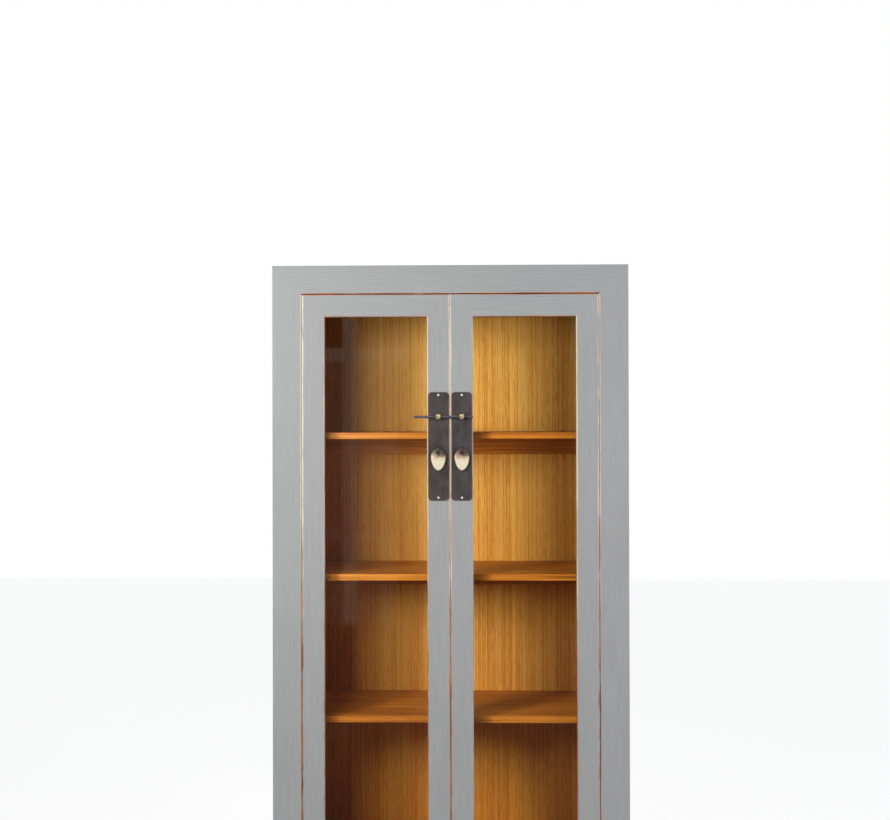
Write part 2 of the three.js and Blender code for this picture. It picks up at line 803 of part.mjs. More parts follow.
function facePlate(x) {
  const half = PLATE_WIDTH / 2;
  const bottom = PLATE_TOP - PLATE_HEIGHT;
  const shape = new THREE.Shape();
  shape.moveTo(x - half + PLATE_CORNER, bottom);
  shape.lineTo(x + half - PLATE_CORNER, bottom);
  shape.quadraticCurveTo(x + half, bottom, x + half, bottom + PLATE_CORNER);
  shape.lineTo(x + half, PLATE_TOP - PLATE_CORNER);
  shape.quadraticCurveTo(x + half, PLATE_TOP, x + half - PLATE_CORNER, PLATE_TOP);
  shape.lineTo(x - half + PLATE_CORNER, PLATE_TOP);
  shape.quadraticCurveTo(x - half, PLATE_TOP, x - half, PLATE_TOP - PLATE_CORNER);
  shape.lineTo(x - half, bottom + PLATE_CORNER);
  shape.quadraticCurveTo(x - half, bottom, x - half + PLATE_CORNER, bottom);
  return cutBy(fromFront(shape, [PLATE_Y, FRONT_Y]), hardwareHoles(x));
}

// Teardrop: half an ellipse above its widest place, and a fuller point below it
function pullOutline(x) {
  const top = PULL_HOLE_Z + PULL_HOLE_BELOW_TOP;
  const above = PULL_HEIGHT * PULL_WIDEST_SHARE;
  const widest = top - above;
  return Array.from({ length: PULL_POINTS }, (_, step) => {
    const angle = (2 * Math.PI * step) / PULL_POINTS;
    const across = Math.cos(angle);
    const up = Math.sin(angle);
    const bend = 2 / (up >= 0 ? PULL_TOP_POWER : PULL_TIP_POWER);
    const height = up >= 0 ? above : PULL_HEIGHT - above;
    return [
      x + (PULL_WIDTH / 2) * Math.sign(across) * Math.abs(across) ** bend,
      widest + height * Math.sign(up) * Math.abs(up) ** bend,
    ];
  });
}

// A teardrop cut from a shallow brass dome, hung through its hole on the wire ring
function pull(x) {
  const middleZ = PULL_HOLE_Z + PULL_HOLE_BELOW_TOP - PULL_HEIGHT / 2;
  const middleRadius = PULL_DOME_RADIUS - PULL_THICKNESS / 2;
  const domeY = RING_Y + Math.sqrt(middleRadius ** 2 - (PULL_HOLE_Z - middleZ) ** 2);
  const ball = (radius) => {
    const geometry = new THREE.SphereGeometry(radius, DOME_SIDES, DOME_RINGS);
    geometry.translate(x, domeY, middleZ);
    return solidFrom(geometry);
  };
  const teardrop = fromFront(shapeOf(pullOutline(x)), [domeY - PULL_DOME_RADIUS - OVERRUN, PLATE_Y]);
  const hole = barAlongY(x, ALL_Y.map((y) => y - PULL_DOME_RADIUS), PULL_HOLE_Z, PULL_HOLE_RADIUS,
    SMALL_SIDES);
  return teardrop
    .intersect(ball(PULL_DOME_RADIUS))
    .subtract(ball(PULL_DOME_RADIUS - PULL_THICKNESS))
    .subtract(hole);
}

// A steel pin that lies in both eyes, rounded at its tail and tapered at its tip
function slidePin() {
  const tail = -PLATE_X - PIN_TAIL;
  const tip = PLATE_X + PIN_TIP;
  const profile = [
    [0, tail],
    [PIN_RADIUS - PIN_ROUNDING, tail],
    [PIN_RADIUS, tail + PIN_ROUNDING],
    [PIN_RADIUS, tip - PIN_TAPER],
    [PIN_TIP_RADIUS, tip - PIN_ROUNDING],
    [PIN_TIP_RADIUS - PIN_ROUNDING, tip],
    [0, tip],
  ];
  const resting = EYE_Z - PIN_PLAY + SEAT_GAP;
  return turnedAlongX(profile, EYE_Y, resting, ROUND_SIDES);
}

function doorParts({ name, sign }) {
  const spans = doorSpans(sign);
  const ring = doorRing(spans);
  const x = sign * PLATE_X;
  const part = (piece, solid, material) => meshFrom(`${name}_${piece}`, solid, material);
  const nails = nailHeights().map(
    ({ level, z }) => part(`${level}_plate_nail`, nail(x, z), polishedBrass()));
  return [
    part("door_hinge_stile",
      doorStile(ring, spans, spans.hingeX).add(pivotDowel(sign, PIVOT_RADIUS)), greyPaint()),
    part("door_meeting_stile",
      cutBy(doorStile(ring, spans, spans.meetingX), hardwareHoles(x)), greyPaint()),
    part("door_top_rail", doorRail(ring, spans, 1), greyPaint()),
    part("door_bottom_rail", doorRail(ring, spans, 0), greyPaint()),
    part("door_glass", glassPane(spans), clearGlass()),
    part("door_glazing_bead", glazingBead(spans), shelfWood()),
    part("door_plate", facePlate(x), darkBronze()),
    part("pin_eye", pinEye(x), polishedBrass()),
    part("pull_staple", pullStaple(x), polishedBrass()),
    part("pull", pull(x), polishedBrass()),
    ...nails,
  ];
}

// The whole cabinet

const framing = carcassFraming();
const cabinet = new THREE.Group();
cabinet.add(
  ...posts(framing),
  ...rails(framing),
  ...panels(),
  ...shelves(),
  ...shelfSupports(),
  doorStop(),
  ...SIDES.flatMap(doorParts),
  meshFrom("slide_pin", slidePin(), darkSteel()),
);

export default cabinet;
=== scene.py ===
import json
import math

import bpy
import numpy as np
from mathutils import Matrix, Vector

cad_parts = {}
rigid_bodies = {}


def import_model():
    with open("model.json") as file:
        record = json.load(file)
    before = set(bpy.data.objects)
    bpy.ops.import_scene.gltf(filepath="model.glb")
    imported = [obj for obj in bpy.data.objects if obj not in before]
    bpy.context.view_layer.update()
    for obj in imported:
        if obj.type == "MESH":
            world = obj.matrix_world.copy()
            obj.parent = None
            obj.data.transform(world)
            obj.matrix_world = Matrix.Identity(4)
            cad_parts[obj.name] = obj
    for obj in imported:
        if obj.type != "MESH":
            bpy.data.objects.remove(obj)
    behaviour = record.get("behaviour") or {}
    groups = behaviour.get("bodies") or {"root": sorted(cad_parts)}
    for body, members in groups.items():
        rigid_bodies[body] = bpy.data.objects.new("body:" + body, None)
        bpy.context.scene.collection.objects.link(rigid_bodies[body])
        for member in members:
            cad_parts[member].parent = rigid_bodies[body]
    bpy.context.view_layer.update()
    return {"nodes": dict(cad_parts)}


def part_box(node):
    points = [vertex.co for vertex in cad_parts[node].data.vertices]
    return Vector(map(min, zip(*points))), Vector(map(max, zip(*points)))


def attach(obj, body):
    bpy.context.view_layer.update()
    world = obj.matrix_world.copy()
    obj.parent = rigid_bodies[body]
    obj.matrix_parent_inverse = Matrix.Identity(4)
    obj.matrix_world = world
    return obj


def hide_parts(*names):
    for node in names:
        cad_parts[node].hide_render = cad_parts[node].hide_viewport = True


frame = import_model()

# Front posts
# Two solid uprights, each with its foot in one piece, mitred to the top rail in the face. Grey
# lacquer lies over a red-brown ground coat and is rubbed back at the arrises. The ground shows
# bare where the doors shut against them, behind a lip that keeps the shut line narrow. The cream
# on the lip and on some arrises is partly rubbed primer and partly a painted highlight.

MM = 0.001
X, Y, Z = 0, 1, 2
SIDES = ((-1, "left"), (1, "right"))
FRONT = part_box("front_left_post")[0].y
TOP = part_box("front_left_post")[1].z
OPENING_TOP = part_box("rear_top_rail")[0].z
DOOR_THICKNESS = 24 * MM
DOOR_BACK = FRONT + DOOR_THICKNESS
RAIL_DEPTH = 25 * MM
RAIL_BACK = FRONT + RAIL_DEPTH
POST_ARRIS = 1.7 * MM
END_ARRIS = 1.5 * MM
SHUT_LIP_WIDTH = 1.9 * MM
SHUT_LIP_DEPTH = 6 * MM
# How pale each shut lip is painted: cream that stands for a highlight on a lip that lies in shade.
SHUT_LIP_HIGHLIGHT_PALENESS = {"left": 0.8, "right": 0.85}


def near_and_far(name, side):
    """A piece's edge nearer to the middle of the cabinet and its edge further off, in x."""
    low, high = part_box(name)
    return (high.x, low.x) if side < 0 else (low.x, high.x)


# How finely a member is drawn, how far the rubbing reaches, and the numbers of its finishes.
STATION_STEP = 20 * MM
LONGEST_WANDER = 0.55
RUB_STEPS = np.array([1.2, 3.6]) * MM
RUB_SHARES = RUB_STEPS / RUB_STEPS[-1]
QUARTER_TURN = np.linspace(0, np.pi / 2, 7)
SHARPEST_SMOOTH_ANGLE = math.radians(38)
LACQUERED, GROUND, STAINED = 0, 1, 2
ONLY = 0


def waver(places, seed):
    """A smooth wander between about -1 and 1: the mean of six sines, each 1.7 times shorter than
    the one before and 0.8 times as strong, with phases drawn from the seed."""
    count, shorter, weaker = 6, 1.7, 0.8
    order = np.arange(count)
    strengths = weaker ** order
    phases = np.random.default_rng(seed).uniform(0, 2 * np.pi, count)
    waves = 2 * np.pi * np.asarray(places)[..., None] * shorter ** order / LONGEST_WANDER
    return (np.sin(waves + phases) * strengths).sum(-1) / strengths.sum()


def corner_at(u, v, radius=0, kept=1, pale=0):
    """A corner of a section: its place, the radius of its arris, how much of the lacquer is kept
    on it, and how pale its bare strip is. The paleness paints a cream highlight on the strip.
    Kept is 1 for all of it and 0 for the usual strip, and a value below 0 widens the strip."""
    return u, v, radius, kept, pale


def edge_directions(places):
    """Unit vectors along a closed outline, into each corner and out of it."""
    into = places - np.roll(places, 1, axis=0)
    into /= np.linalg.norm(into, axis=1)[:, None]
    return into, np.roll(into, -1, axis=0)


def eased_outline(corners, radii):
    """Outline of a section at each station. A corner of radius r becomes a quarter circle, which
    is corner + r (out - into) + r (into sin t - out cos t) for t from 0 to 90 degrees, with two
    points on either side of it to carry the rubbing. A corner of radius 0 stays one point.
    Gives the points, how near each is to its arris (0 on it), and its corner and place there."""
    places = np.array([spot[:2] for spot in corners])
    into, out = edge_directions(places)
    swing_in, swing_out = np.sin(QUARTER_TURN)[:, None], np.cos(QUARTER_TURN)[:, None]
    points, nearness, owners, stretches = [], [], [], []
    for k, (u, v, radius, kept, pale) in enumerate(corners):
        place = places[k]
        r = radii[:, k, None, None]
        if radius == 0:
            points.append(np.broadcast_to(place, (len(radii), 1, 2)))
            near, stretch = [1.0], [1]
        else:
            before = place - into[k] * (r + RUB_STEPS[::-1, None])
            arc = place + r * (out[k] - into[k]) + r * (into[k] * swing_in - out[k] * swing_out)
            after = place + out[k] * (r + RUB_STEPS[:, None])
            points.append(np.concatenate([before, arc, after], axis=1))
            near = [*RUB_SHARES[::-1], *[0.0] * len(QUARTER_TURN), *RUB_SHARES]
            near = np.maximum(near, kept) + min(kept, 0)
            stretch = [-1] * 2 + [0] * (len(QUARTER_TURN) - 1) + [1] * 3
        nearness.extend(near)
        owners.extend([k] * len(near))
        stretches.extend(stretch)
    return np.concatenate(points, axis=1), np.array(nearness), np.array(owners), np.array(stretches)


def end_stations(share, radius):
    """Stations of one end, from its face inwards. A rounded end of radius r stands back by
    r (1 - sin t) and in by r (1 - cos t), and a square one has a single station."""
    if radius == 0:
        return np.array([[share, 0, 0, 1]])
    turn = np.linspace(np.pi / 2, 0, 5)
    face = [[share, 0, radius + step, near]
            for step, near in zip(RUB_STEPS[::-1], RUB_SHARES[::-1])]
    bend = np.stack([0 * turn + share, radius * (1 - np.sin(turn)),
                     radius * (1 - np.cos(turn)), 0 * turn], axis=1)
    side = [[share, radius + step, 0, near] for step, near in zip(RUB_STEPS, RUB_SHARES)]
    return np.concatenate([face, bend, side])


def stations(length, step, rounds):
    """Stations along a member: share of the length, distance back from the end that it belongs
    to, inset of the section and nearness to the end's arris."""
    run = np.linspace(0, 1, max(3, math.ceil(length / step)) + 1)[1:-1]
    between_ends = np.stack([run, 0 * run, 0 * run, 0 * run + 1], axis=1)
    return np.concatenate([end_stations(0, rounds[0]), between_ends, end_stations(1, rounds[1])[::-1]])


def laid_out(axes, u, v, along):
    """Points from their places on three axes, where axes says which of x, y, z each one is."""
    return np.stack(np.broadcast_arrays(u, v, along), axis=-1)[..., np.argsort(axes)]


def tube_faces(count, around):
    """Quads between neighbouring rings of a tube, each ring closed on itself."""
    ring, spot = np.meshgrid(np.arange(count - 1), np.arange(around), indexing="ij")
    beside = (spot + 1) % around
    quads = np.stack([ring * around + spot, ring * around + beside,
                      (ring + 1) * around + beside, (ring + 1) * around + spot], axis=-1)
    return quads.reshape(-1, 4)


def end_caps(count, around):
    """The first ring of a tube, turned to face outwards, and its last ring."""
    return [np.arange(around)[::-1], np.arange(around) + (count - 1) * around]


def as_function(end):
    """An end as a function of u. A mitred end is given as one, and a square end as its place."""
    return end if callable(end) else (lambda u: end + 0 * u)


def member(corners, finishes, start, end, axes, rounds=(0, 0), step=STATION_STEP, seed=0, hand=0.3):
    """A section carried along a straight line. Its place along is start + share (end - start),
    where start and end may change with u, so that an end can be mitred. The arris radii wander
    by the hand share, finishes has one for each side after its corner, and axes says which of
    x, y, z are u, v and along."""
    start, end = as_function(start), as_function(end)
    run = end(corners[0][0]) - start(corners[0][0])
    share, back, inset, end_near = stations(abs(run), step, rounds).T
    radii = np.stack([
        spot[2] * (1 + hand * waver(share * abs(run), seed + 7 * k))
        for k, spot in enumerate(corners)], axis=1)
    outline, near, owners, stretches = eased_outline(corners, radii)
    spans = np.array([spot[:2] for spot in corners])
    low, high = spans.min(0), spans.max(0)
    middle, half = (low + high) / 2, (high - low) / 2
    outline = middle + (outline - middle) * (1 - inset[:, None, None] / half)
    u, v = outline[..., 0], outline[..., 1]
    inward = np.where(share < 0.5, 1, -1) * np.sign(run)
    along = start(u) + (end(u) - start(u)) * share[:, None] + (back * inward)[:, None]
    finishes = np.array(finishes)
    before, after = np.roll(finishes, 1)[owners], finishes[owners]
    sides = np.where(stretches < 0, before, np.where(stretches > 0, after, np.minimum(before, after)))
    return {
        "points": laid_out(axes, u, v, along).reshape(-1, 3),
        "quads": tube_faces(len(share), len(near)),
        "caps": end_caps(len(share), len(near)),
        "finish": np.tile(sides, len(share) - 1),
        "cap_finish": min(finishes),
        "rub": np.minimum(near[None, :], end_near[:, None]).ravel(),
        "pale": np.tile(np.array([spot[4] for spot in corners])[owners], len(share)),
    }


def turned_outwards(shell):
    """The shell's faces as lists, reversed if the volume that they enclose comes out negative."""
    points = shell["points"]
    a, b, c, d = (points[shell["quads"][:, k]] for k in range(4))
    volume = (a * np.cross(b, c)).sum() + (a * np.cross(c, d)).sum()
    for cap in shell["caps"]:
        ring = points[cap]
        volume += (ring[0] * np.cross(ring[1:-1], ring[2:])).sum()
    faces = shell["quads"].tolist() + [cap.tolist() for cap in shell["caps"]]
    return faces if volume > 0 else [face[::-1] for face in faces]


def make_piece(node, shells, materials, body):
    """One object at the origin from closed shells, riding on its body in place of a CAD node."""
    name = f"{node}_piece"
    faces, finishes, first = [], [], 0
    for shell in shells:
        faces += [[first + spot for spot in face] for face in turned_outwards(shell)]
        finishes += shell["finish"].tolist() + [shell["cap_finish"]] * len(shell["caps"])
        first += len(shell["points"])
    mesh = bpy.data.meshes.new(name)
    mesh.from_pydata(np.concatenate([shell["points"] for shell in shells]).tolist(), [], faces)
    for mark in ("rub", "pale"):
        layer = mesh.attributes.new(mark, "FLOAT", "POINT")
        layer.data.foreach_set("value", np.concatenate([shell[mark] for shell in shells]))
    for material in materials:
        mesh.materials.append(material)
    mesh.polygons.foreach_set("material_index", finishes)
    mesh.shade_smooth()
    mesh.set_sharp_from_angle(angle=SHARPEST_SMOOTH_ANGLE)
    mesh.validate()
    piece = bpy.data.objects.new(name, mesh)
    bpy.context.scene.collection.objects.link(piece)
    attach(piece, body)
    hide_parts(node)


# The finishes' colours, and the heights and widths at which they change.
NOISE_SPAN = (0.3, 0.7)
STREAK_DARK = (0.410, 0.422, 0.425, 1)
STREAK_PALE = (0.468, 0.480, 0.478, 1)
GROUND_RED = (0.330, 0.105, 0.055, 1)
GROUND_ORANGE = (0.600, 0.205, 0.075, 1)
# Cream for the pale arrises and the heights over which it comes in: partly rubbed primer, partly a painted
# highlight that is stronger higher up.
RUBBED_CREAM_AND_HIGHLIGHT = (0.960, 0.860, 0.740, 1)
CREAM_HIGHLIGHT_HEIGHTS = (0.88, 1.22)
BARE_WIDTHS = (0.0, 0.28)
CREAM_HIGHLIGHT_WIDTH = 0.08
UMBER_SHADES = ((0.110, 0.045, 0.016, 1), (0.190, 0.080, 0.026, 1), (0.260, 0.120, 0.040, 1))
# Heights over which stained wood is painted darker and redder towards the floor as shade, and the share of
# red, green and blue left at the floor.
SHADE_TOWARDS_FLOOR_HEIGHTS = (0.5, 1.5)
SHADE_TOWARDS_FLOOR_SHARES = (0.84, 0.66, 0.42)


def finish(name):
    """A new material with its node tree and its Principled shader."""
    material = bpy.data.materials.new(name)
    material.use_nodes = True
    tree = material.node_tree
    return material, tree, tree.nodes["Principled BSDF"]


def feed(tree, node, sockets):
    """Links each socket that is given another node's output, and sets any other."""
    for key, value in sockets.items():
        if isinstance(value, bpy.types.NodeSocket):
            tree.links.new(value, node.inputs[key])
        else:
            node.inputs[key].default_value = value


def put(tree, kind, sockets=None, **settings):
    """Adds a node with its settings, and feeds its sockets."""
    node = tree.nodes.new(kind)
    for key, value in settings.items():
        setattr(node, key, value)
    feed(tree, node, sockets or {})
    return node


def maths(tree, kind, *values):
    """One step of arithmetic on numbers or sockets."""
    return put(tree, "ShaderNodeMath", dict(enumerate(values)), operation=kind).outputs[0]


def weighted(tree, *parts):
    """The sum of values, each times its weight."""
    total, *rest = [maths(tree, "MULTIPLY", value, weight) for value, weight in parts]
    for term in rest:
        total = maths(tree, "ADD", total, term)
    return total


def faded(tree, value, span, reach=(0.0, 1.0)):
    """The value's place in the span, carried over to the reach and held at its ends."""
    sockets = {"Value": value, "From Min": span[0], "From Max": span[1],
               "To Min": reach[0], "To Max": reach[1]}
    return put(tree, "ShaderNodeMapRange", sockets).outputs["Result"]


def between(tree, share, first, second, blend="MIX"):
    """Colour that goes from the first to the second as the share goes from 0 to 1."""
    sockets = {0: share, 6: first, 7: second}
    return put(tree, "ShaderNodeMix", sockets, data_type="RGBA", blend_type=blend).outputs[2]


def dimmed(tree, colour, shares):
    """A colour times a share for each of red, green and blue."""
    factor = put(tree, "ShaderNodeCombineXYZ", dict(enumerate(shares))).outputs[0]
    return between(tree, 1.0, colour, factor, "MULTIPLY")


def attribute(tree, name):
    """A value that each vertex of the piece carries."""
    return put(tree, "ShaderNodeAttribute", attribute_name=name).outputs["Fac"]


def place_along(tree, axis):
    """The object's own x, y or z. Its z is the height above the floor."""
    place = put(tree, "ShaderNodeTexCoord").outputs["Object"]
    return put(tree, "ShaderNodeSeparateXYZ", {"Vector": place}).outputs[axis]


def drawn_noise(tree, grain, across, along, detail=2, offset=0.0, distortion=0.0):
    """Noise with so many features per metre across the grain and so many along it."""
    place = put(tree, "ShaderNodeTexCoord").outputs["Object"]
    scale = [across] * 3
    scale[grain] = along
    sockets = {"Vector": place, "Location": (offset, offset * 0.7, offset * 1.3), "Scale": scale}
    stretched = put(tree, "ShaderNodeMapping", sockets).outputs["Vector"]
    sockets = {"Vector": stretched, "Scale": 1.0, "Detail": detail, "Distortion": distortion}
    return put(tree, "ShaderNodeTexNoise", sockets).outputs["Fac"]


def raised(tree, height, strength, depth):
    """Fine relief, where a height from 0 to 1 stands for a rise up to the depth."""
    sockets = {"Height": height, "Strength": strength, "Distance": depth}
    return put(tree, "ShaderNodeBump", sockets).outputs["Normal"]


def bare_colour_and_highlight(tree, grain):
    """Red-brown ground coat, orange where it was rubbed thin, and cream on the pale arrises, as the
    paleness times a share that grows with the height above the floor. The cream is partly rubbed
    primer and partly a painted highlight, and the painted highlight is what grows with height."""
    thin = drawn_noise(tree, grain, across=90, along=14, detail=3, offset=5.1)
    ground = between(tree, faded(tree, thin, (0.38, 0.62)), GROUND_RED, GROUND_ORANGE)
    wander = drawn_noise(tree, grain, across=40, along=9, detail=3, offset=3.3)
    high = maths(tree, "ADD", place_along(tree, Z), faded(tree, wander, NOISE_SPAN, (-0.16, 0.16)))
    cream = maths(tree, "MULTIPLY", attribute(tree, "pale"),
                  faded(tree, high, CREAM_HIGHLIGHT_HEIGHTS, (0.08, 1.0)))
    return between(tree, cream, ground, RUBBED_CREAM_AND_HIGHLIGHT), cream


def grey_lacquer(name, grain):
    """Grey with faint streaks along the member. It is rubbed through to the bare colour where the
    arris is nearer than a wandering width, which is a little wider on the pale arrises, so that
    their painted cream highlight is wider too."""
    material, tree, shader = finish(name)
    streaks = drawn_noise(tree, grain, across=430, along=9, detail=3)
    clouds = drawn_noise(tree, grain, across=9, along=4, offset=2.3)
    pores = drawn_noise(tree, grain, across=1500, along=60, detail=1, offset=7.7)
    grey = between(tree, faded(tree, streaks, NOISE_SPAN), STREAK_DARK, STREAK_PALE)
    shade = maths(tree, "MULTIPLY", faded(tree, clouds, NOISE_SPAN, (0.975, 1.025)),
                  faded(tree, pores, (0.25, 0.42), (0.93, 1.0)))
    grey = dimmed(tree, grey, [shade] * 3)
    bare, cream = bare_colour_and_highlight(tree, grain)
    width = drawn_noise(tree, grain, across=160, along=26, detail=3, offset=11.9)
    width = faded(tree, width, NOISE_SPAN, BARE_WIDTHS)
    width = maths(tree, "ADD", width, maths(tree, "MULTIPLY", cream, CREAM_HIGHLIGHT_WIDTH))
    beyond = maths(tree, "SUBTRACT", attribute(tree, "rub"), width)
    rubbed = faded(tree, beyond, (-0.09, 0.06), (1.0, 0.0))
    feed(tree, shader, {
        "Base Color": between(tree, rubbed, grey, bare),
        "Roughness": faded(tree, streaks, (0.2, 0.8), (0.42, 0.56)),
        "Normal": raised(tree, weighted(tree, (streaks, 0.6), (pores, 0.4)), 0.3, 0.12 * MM),
    })
    return material


def ground_coat(name, grain):
    """Bare ground coat on the faces that the doors shut against, with the painted cream highlight where
    corners are pale.
    """
    material, tree, shader = finish(name)
    brush = drawn_noise(tree, grain, across=700, along=20, offset=1.7)
    feed(tree, shader, {
        "Base Color": bare_colour_and_highlight(tree, grain)[0],
        "Roughness": 0.5,
        "Normal": raised(tree, brush, 0.3, 0.2 * MM),
    })
    return material


def stained_wood(name, grain, shades):
    """Stained open-grained wood: fine lines along the board in two widths, wide bands of tone
    that change slowly, short dark pores, and colour painted darker and redder towards the floor
    as shade."""
    material, tree, shader = finish(name)
    dark, middle, pale = shades
    lines = drawn_noise(tree, grain, across=360, along=1.6, detail=3, offset=0.9)
    fibres = drawn_noise(tree, grain, across=500, along=34, offset=7.1)
    bands = drawn_noise(tree, grain, across=26, along=0.7, offset=8.8)
    pores = drawn_noise(tree, grain, across=460, along=15, offset=4.4)
    tone = weighted(tree, (lines, 0.58), (fibres, 0.30), (bands, 0.12))
    deep = between(tree, faded(tree, tone, (0.37, 0.50)), dark, middle)
    colour = between(tree, faded(tree, tone, (0.46, 0.61)), deep, pale)
    dashes = faded(tree, pores, (0.30, 0.42), (1.0, 0.0))
    colour = between(tree, maths(tree, "MULTIPLY", dashes, 0.45), colour, dark)
    height = place_along(tree, Z)
    colour = dimmed(tree, colour, [
        faded(tree, height, SHADE_TOWARDS_FLOOR_HEIGHTS, (share, 1.0)) for share in SHADE_TOWARDS_FLOOR_SHARES])
    relief = maths(tree, "SUBTRACT", maths(tree, "MULTIPLY", lines, 0.5), dashes)
    feed(tree, shader, {
        "Base Color": colour,
        "Roughness": faded(tree, lines, NOISE_SPAN, (0.42, 0.56)),
        "Specular IOR Level": 0.15,
        "Normal": raised(tree, relief, 0.25, 0.2 * MM),
    })
    return material


def frame_finishes(grain, word):
    """The finishes of a member whose grain runs along one axis, in the order of their numbers."""
    return [
        grey_lacquer(f"grey lacquer along {word}", grain),
        ground_coat(f"ground coat along {word}", grain),
        stained_wood(f"umber stain along {word}", grain, UMBER_SHADES),
    ]


upright_finishes = frame_finishes(Z, "z")
for side, word in SIDES:
    name = f"front_{word}_post"
    inner, outer = near_and_far(name, side)
    post_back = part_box(name)[1].y
    slope = (TOP - OPENING_TOP) / (outer - inner)
    face = member(
        [
            corner_at(outer, FRONT, POST_ARRIS, kept=0.34),
            corner_at(inner - side * SHUT_LIP_WIDTH, FRONT, POST_ARRIS, kept=0.02,
                      pale=SHUT_LIP_HIGHLIGHT_PALENESS[word]),
            corner_at(inner, FRONT + SHUT_LIP_DEPTH, pale=0.1),
            corner_at(inner, DOOR_BACK),
            corner_at(inner, RAIL_BACK),
            corner_at(outer, RAIL_BACK),
        ],
        [LACQUERED, GROUND, GROUND, STAINED, STAINED, LACQUERED],
        0.0, lambda u: OPENING_TOP + slope * (u - inner),
        (X, Y, Z), rounds=(END_ARRIS, 0), seed=11 + side)
    backing = member(
        [
            corner_at(outer, RAIL_BACK),
            corner_at(inner, RAIL_BACK),
            corner_at(inner, post_back, POST_ARRIS),
            corner_at(outer, post_back, POST_ARRIS, kept=0.4),
        ],
        [STAINED, STAINED, STAINED, LACQUERED],
        0.0, TOP, (X, Y, Z), rounds=(END_ARRIS, END_ARRIS), seed=21 + side)
    make_piece(name, [face, backing], upright_finishes, "carcass")

# Rear posts
# Square uprights behind, which take the side rails, the rear rails and the shelf rails. They are
# lacquered on the two outer faces and stained on the two that face the shelves.

for side, word in SIDES:
    name = f"rear_{word}_post"
    low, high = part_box(name)
    inner, outer = near_and_far(name, side)
    upright = member(
        [
            corner_at(outer, low.y, POST_ARRIS, kept=0.33, pale=0.4),
            corner_at(inner, low.y, POST_ARRIS),
            corner_at(inner, high.y, POST_ARRIS, kept=0.33, pale=0.2),
            corner_at(outer, high.y, POST_ARRIS, kept=0.2, pale=0.4),
        ],
        [STAINED, STAINED, LACQUERED, LACQUERED],
        0.0, TOP, (X, Y, Z), rounds=(END_ARRIS, END_ARRIS), seed=31 + side)
    make_piece(name, [upright], upright_finishes, "carcass")

# Rails of the carcass
# Front, rear and side rails join the posts at the top and the bottom. The front top rail is
# mitred to the posts in the face, and the others meet them square, on hidden tenons.

RAIL_ARRIS = 1.3 * MM
crosswise_finishes = frame_finishes(X, "x")
depthwise_finishes = frame_finishes(Y, "y")
post_inner, post_outer = near_and_far("front_right_post", 1)
mitre_slope = (post_outer - post_inner) / (TOP - OPENING_TOP)
front_top_rail = member(
    [
        corner_at(OPENING_TOP, FRONT, RAIL_ARRIS, kept=-0.01),
        corner_at(TOP, FRONT, POST_ARRIS, kept=0.29),
        corner_at(TOP, RAIL_BACK, RAIL_ARRIS, kept=0.4, pale=0.2),
        corner_at(OPENING_TOP, RAIL_BACK),
        corner_at(OPENING_TOP, DOOR_BACK),
    ],
    [LACQUERED, LACQUERED, STAINED, GROUND, GROUND],
    lambda u: -post_inner - mitre_slope * (u - OPENING_TOP),
    lambda u: post_inner + mitre_slope * (u - OPENING_TOP),
    (Z, Y, X), seed=41)
make_piece("front_top_rail", [front_top_rail], crosswise_finishes, "carcass")

low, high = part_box("front_bottom_rail")
front_bottom_rail = member(
    [
        corner_at(low.z, FRONT, POST_ARRIS, kept=0.1, pale=0.1),
        corner_at(high.z, FRONT, RAIL_ARRIS, kept=0.0, pale=0.1),
        corner_at(high.z, DOOR_BACK),
        corner_at(high.z, RAIL_BACK),
        corner_at(low.z, RAIL_BACK, RAIL_ARRIS, kept=0.5),
    ],
    [LACQUERED, GROUND, GROUND, STAINED, LACQUERED],
    -post_inner, post_inner, (Z, Y, X), seed=43)
make_piece("front_bottom_rail", [front_bottom_rail], crosswise_finishes, "carcass")

rear_inner = near_and_far("rear_right_post", 1)[0]
for level, top_kept in (("top", 0.2), ("bottom", 0.5)):
    name = f"rear_{level}_rail"
    low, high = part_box(name)
    rail = member(
        [
            corner_at(low.z, high.y, RAIL_ARRIS, kept=0.4),
            corner_at(high.z, high.y, RAIL_ARRIS, kept=top_kept),
            corner_at(high.z, low.y, RAIL_ARRIS),
            corner_at(low.z, low.y, RAIL_ARRIS),
        ],
        [LACQUERED, LACQUERED, STAINED, STAINED],
        -rear_inner, rear_inner, (Z, Y, X), seed=47)
    make_piece(name, [rail], crosswise_finishes, "carcass")

front_post_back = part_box("front_left_post")[1].y
rear_post_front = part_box("rear_left_post")[0].y
for side, word in SIDES:
    for level, underside in (("top", STAINED), ("bottom", LACQUERED)):
        name = f"{word}_{level}_rail"
        low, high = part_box(name)
        inner, outer = near_and_far(name, side)
        rail = member(
            [
                corner_at(low.z, outer, RAIL_ARRIS, kept=0.3, pale=0.2),
                corner_at(high.z, outer, RAIL_ARRIS, kept=0.15, pale=0.2),
                corner_at(high.z, inner, RAIL_ARRIS, kept=0.6),
                corner_at(low.z, inner, RAIL_ARRIS),
            ],
            [LACQUERED, LACQUERED, STAINED, underside],
            front_post_back, rear_post_front, (Z, X, Y), seed=53 + side)
        make_piece(name, [rail], depthwise_finishes, "carcass")

# Side panels and top panel
# Thin boards that float in grooves in the posts and rails, set back from the faces round them.
# They are lacquered outside and stained inside.

PANEL_FINISHES = [LACQUERED, STAINED, STAINED, STAINED]
for side, word in SIDES:
    name = f"{word}_side_panel"
    low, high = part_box(name)
    inner, outer = near_and_far(name, side)
    places = ((outer, low.y), (outer, high.y), (inner, high.y), (inner, low.y))
    panel = member([corner_at(x, y) for x, y in places], PANEL_FINISHES,
                   low.z, high.z, (X, Y, Z), seed=61)
    make_piece(name, [panel], upright_finishes, "carcass")

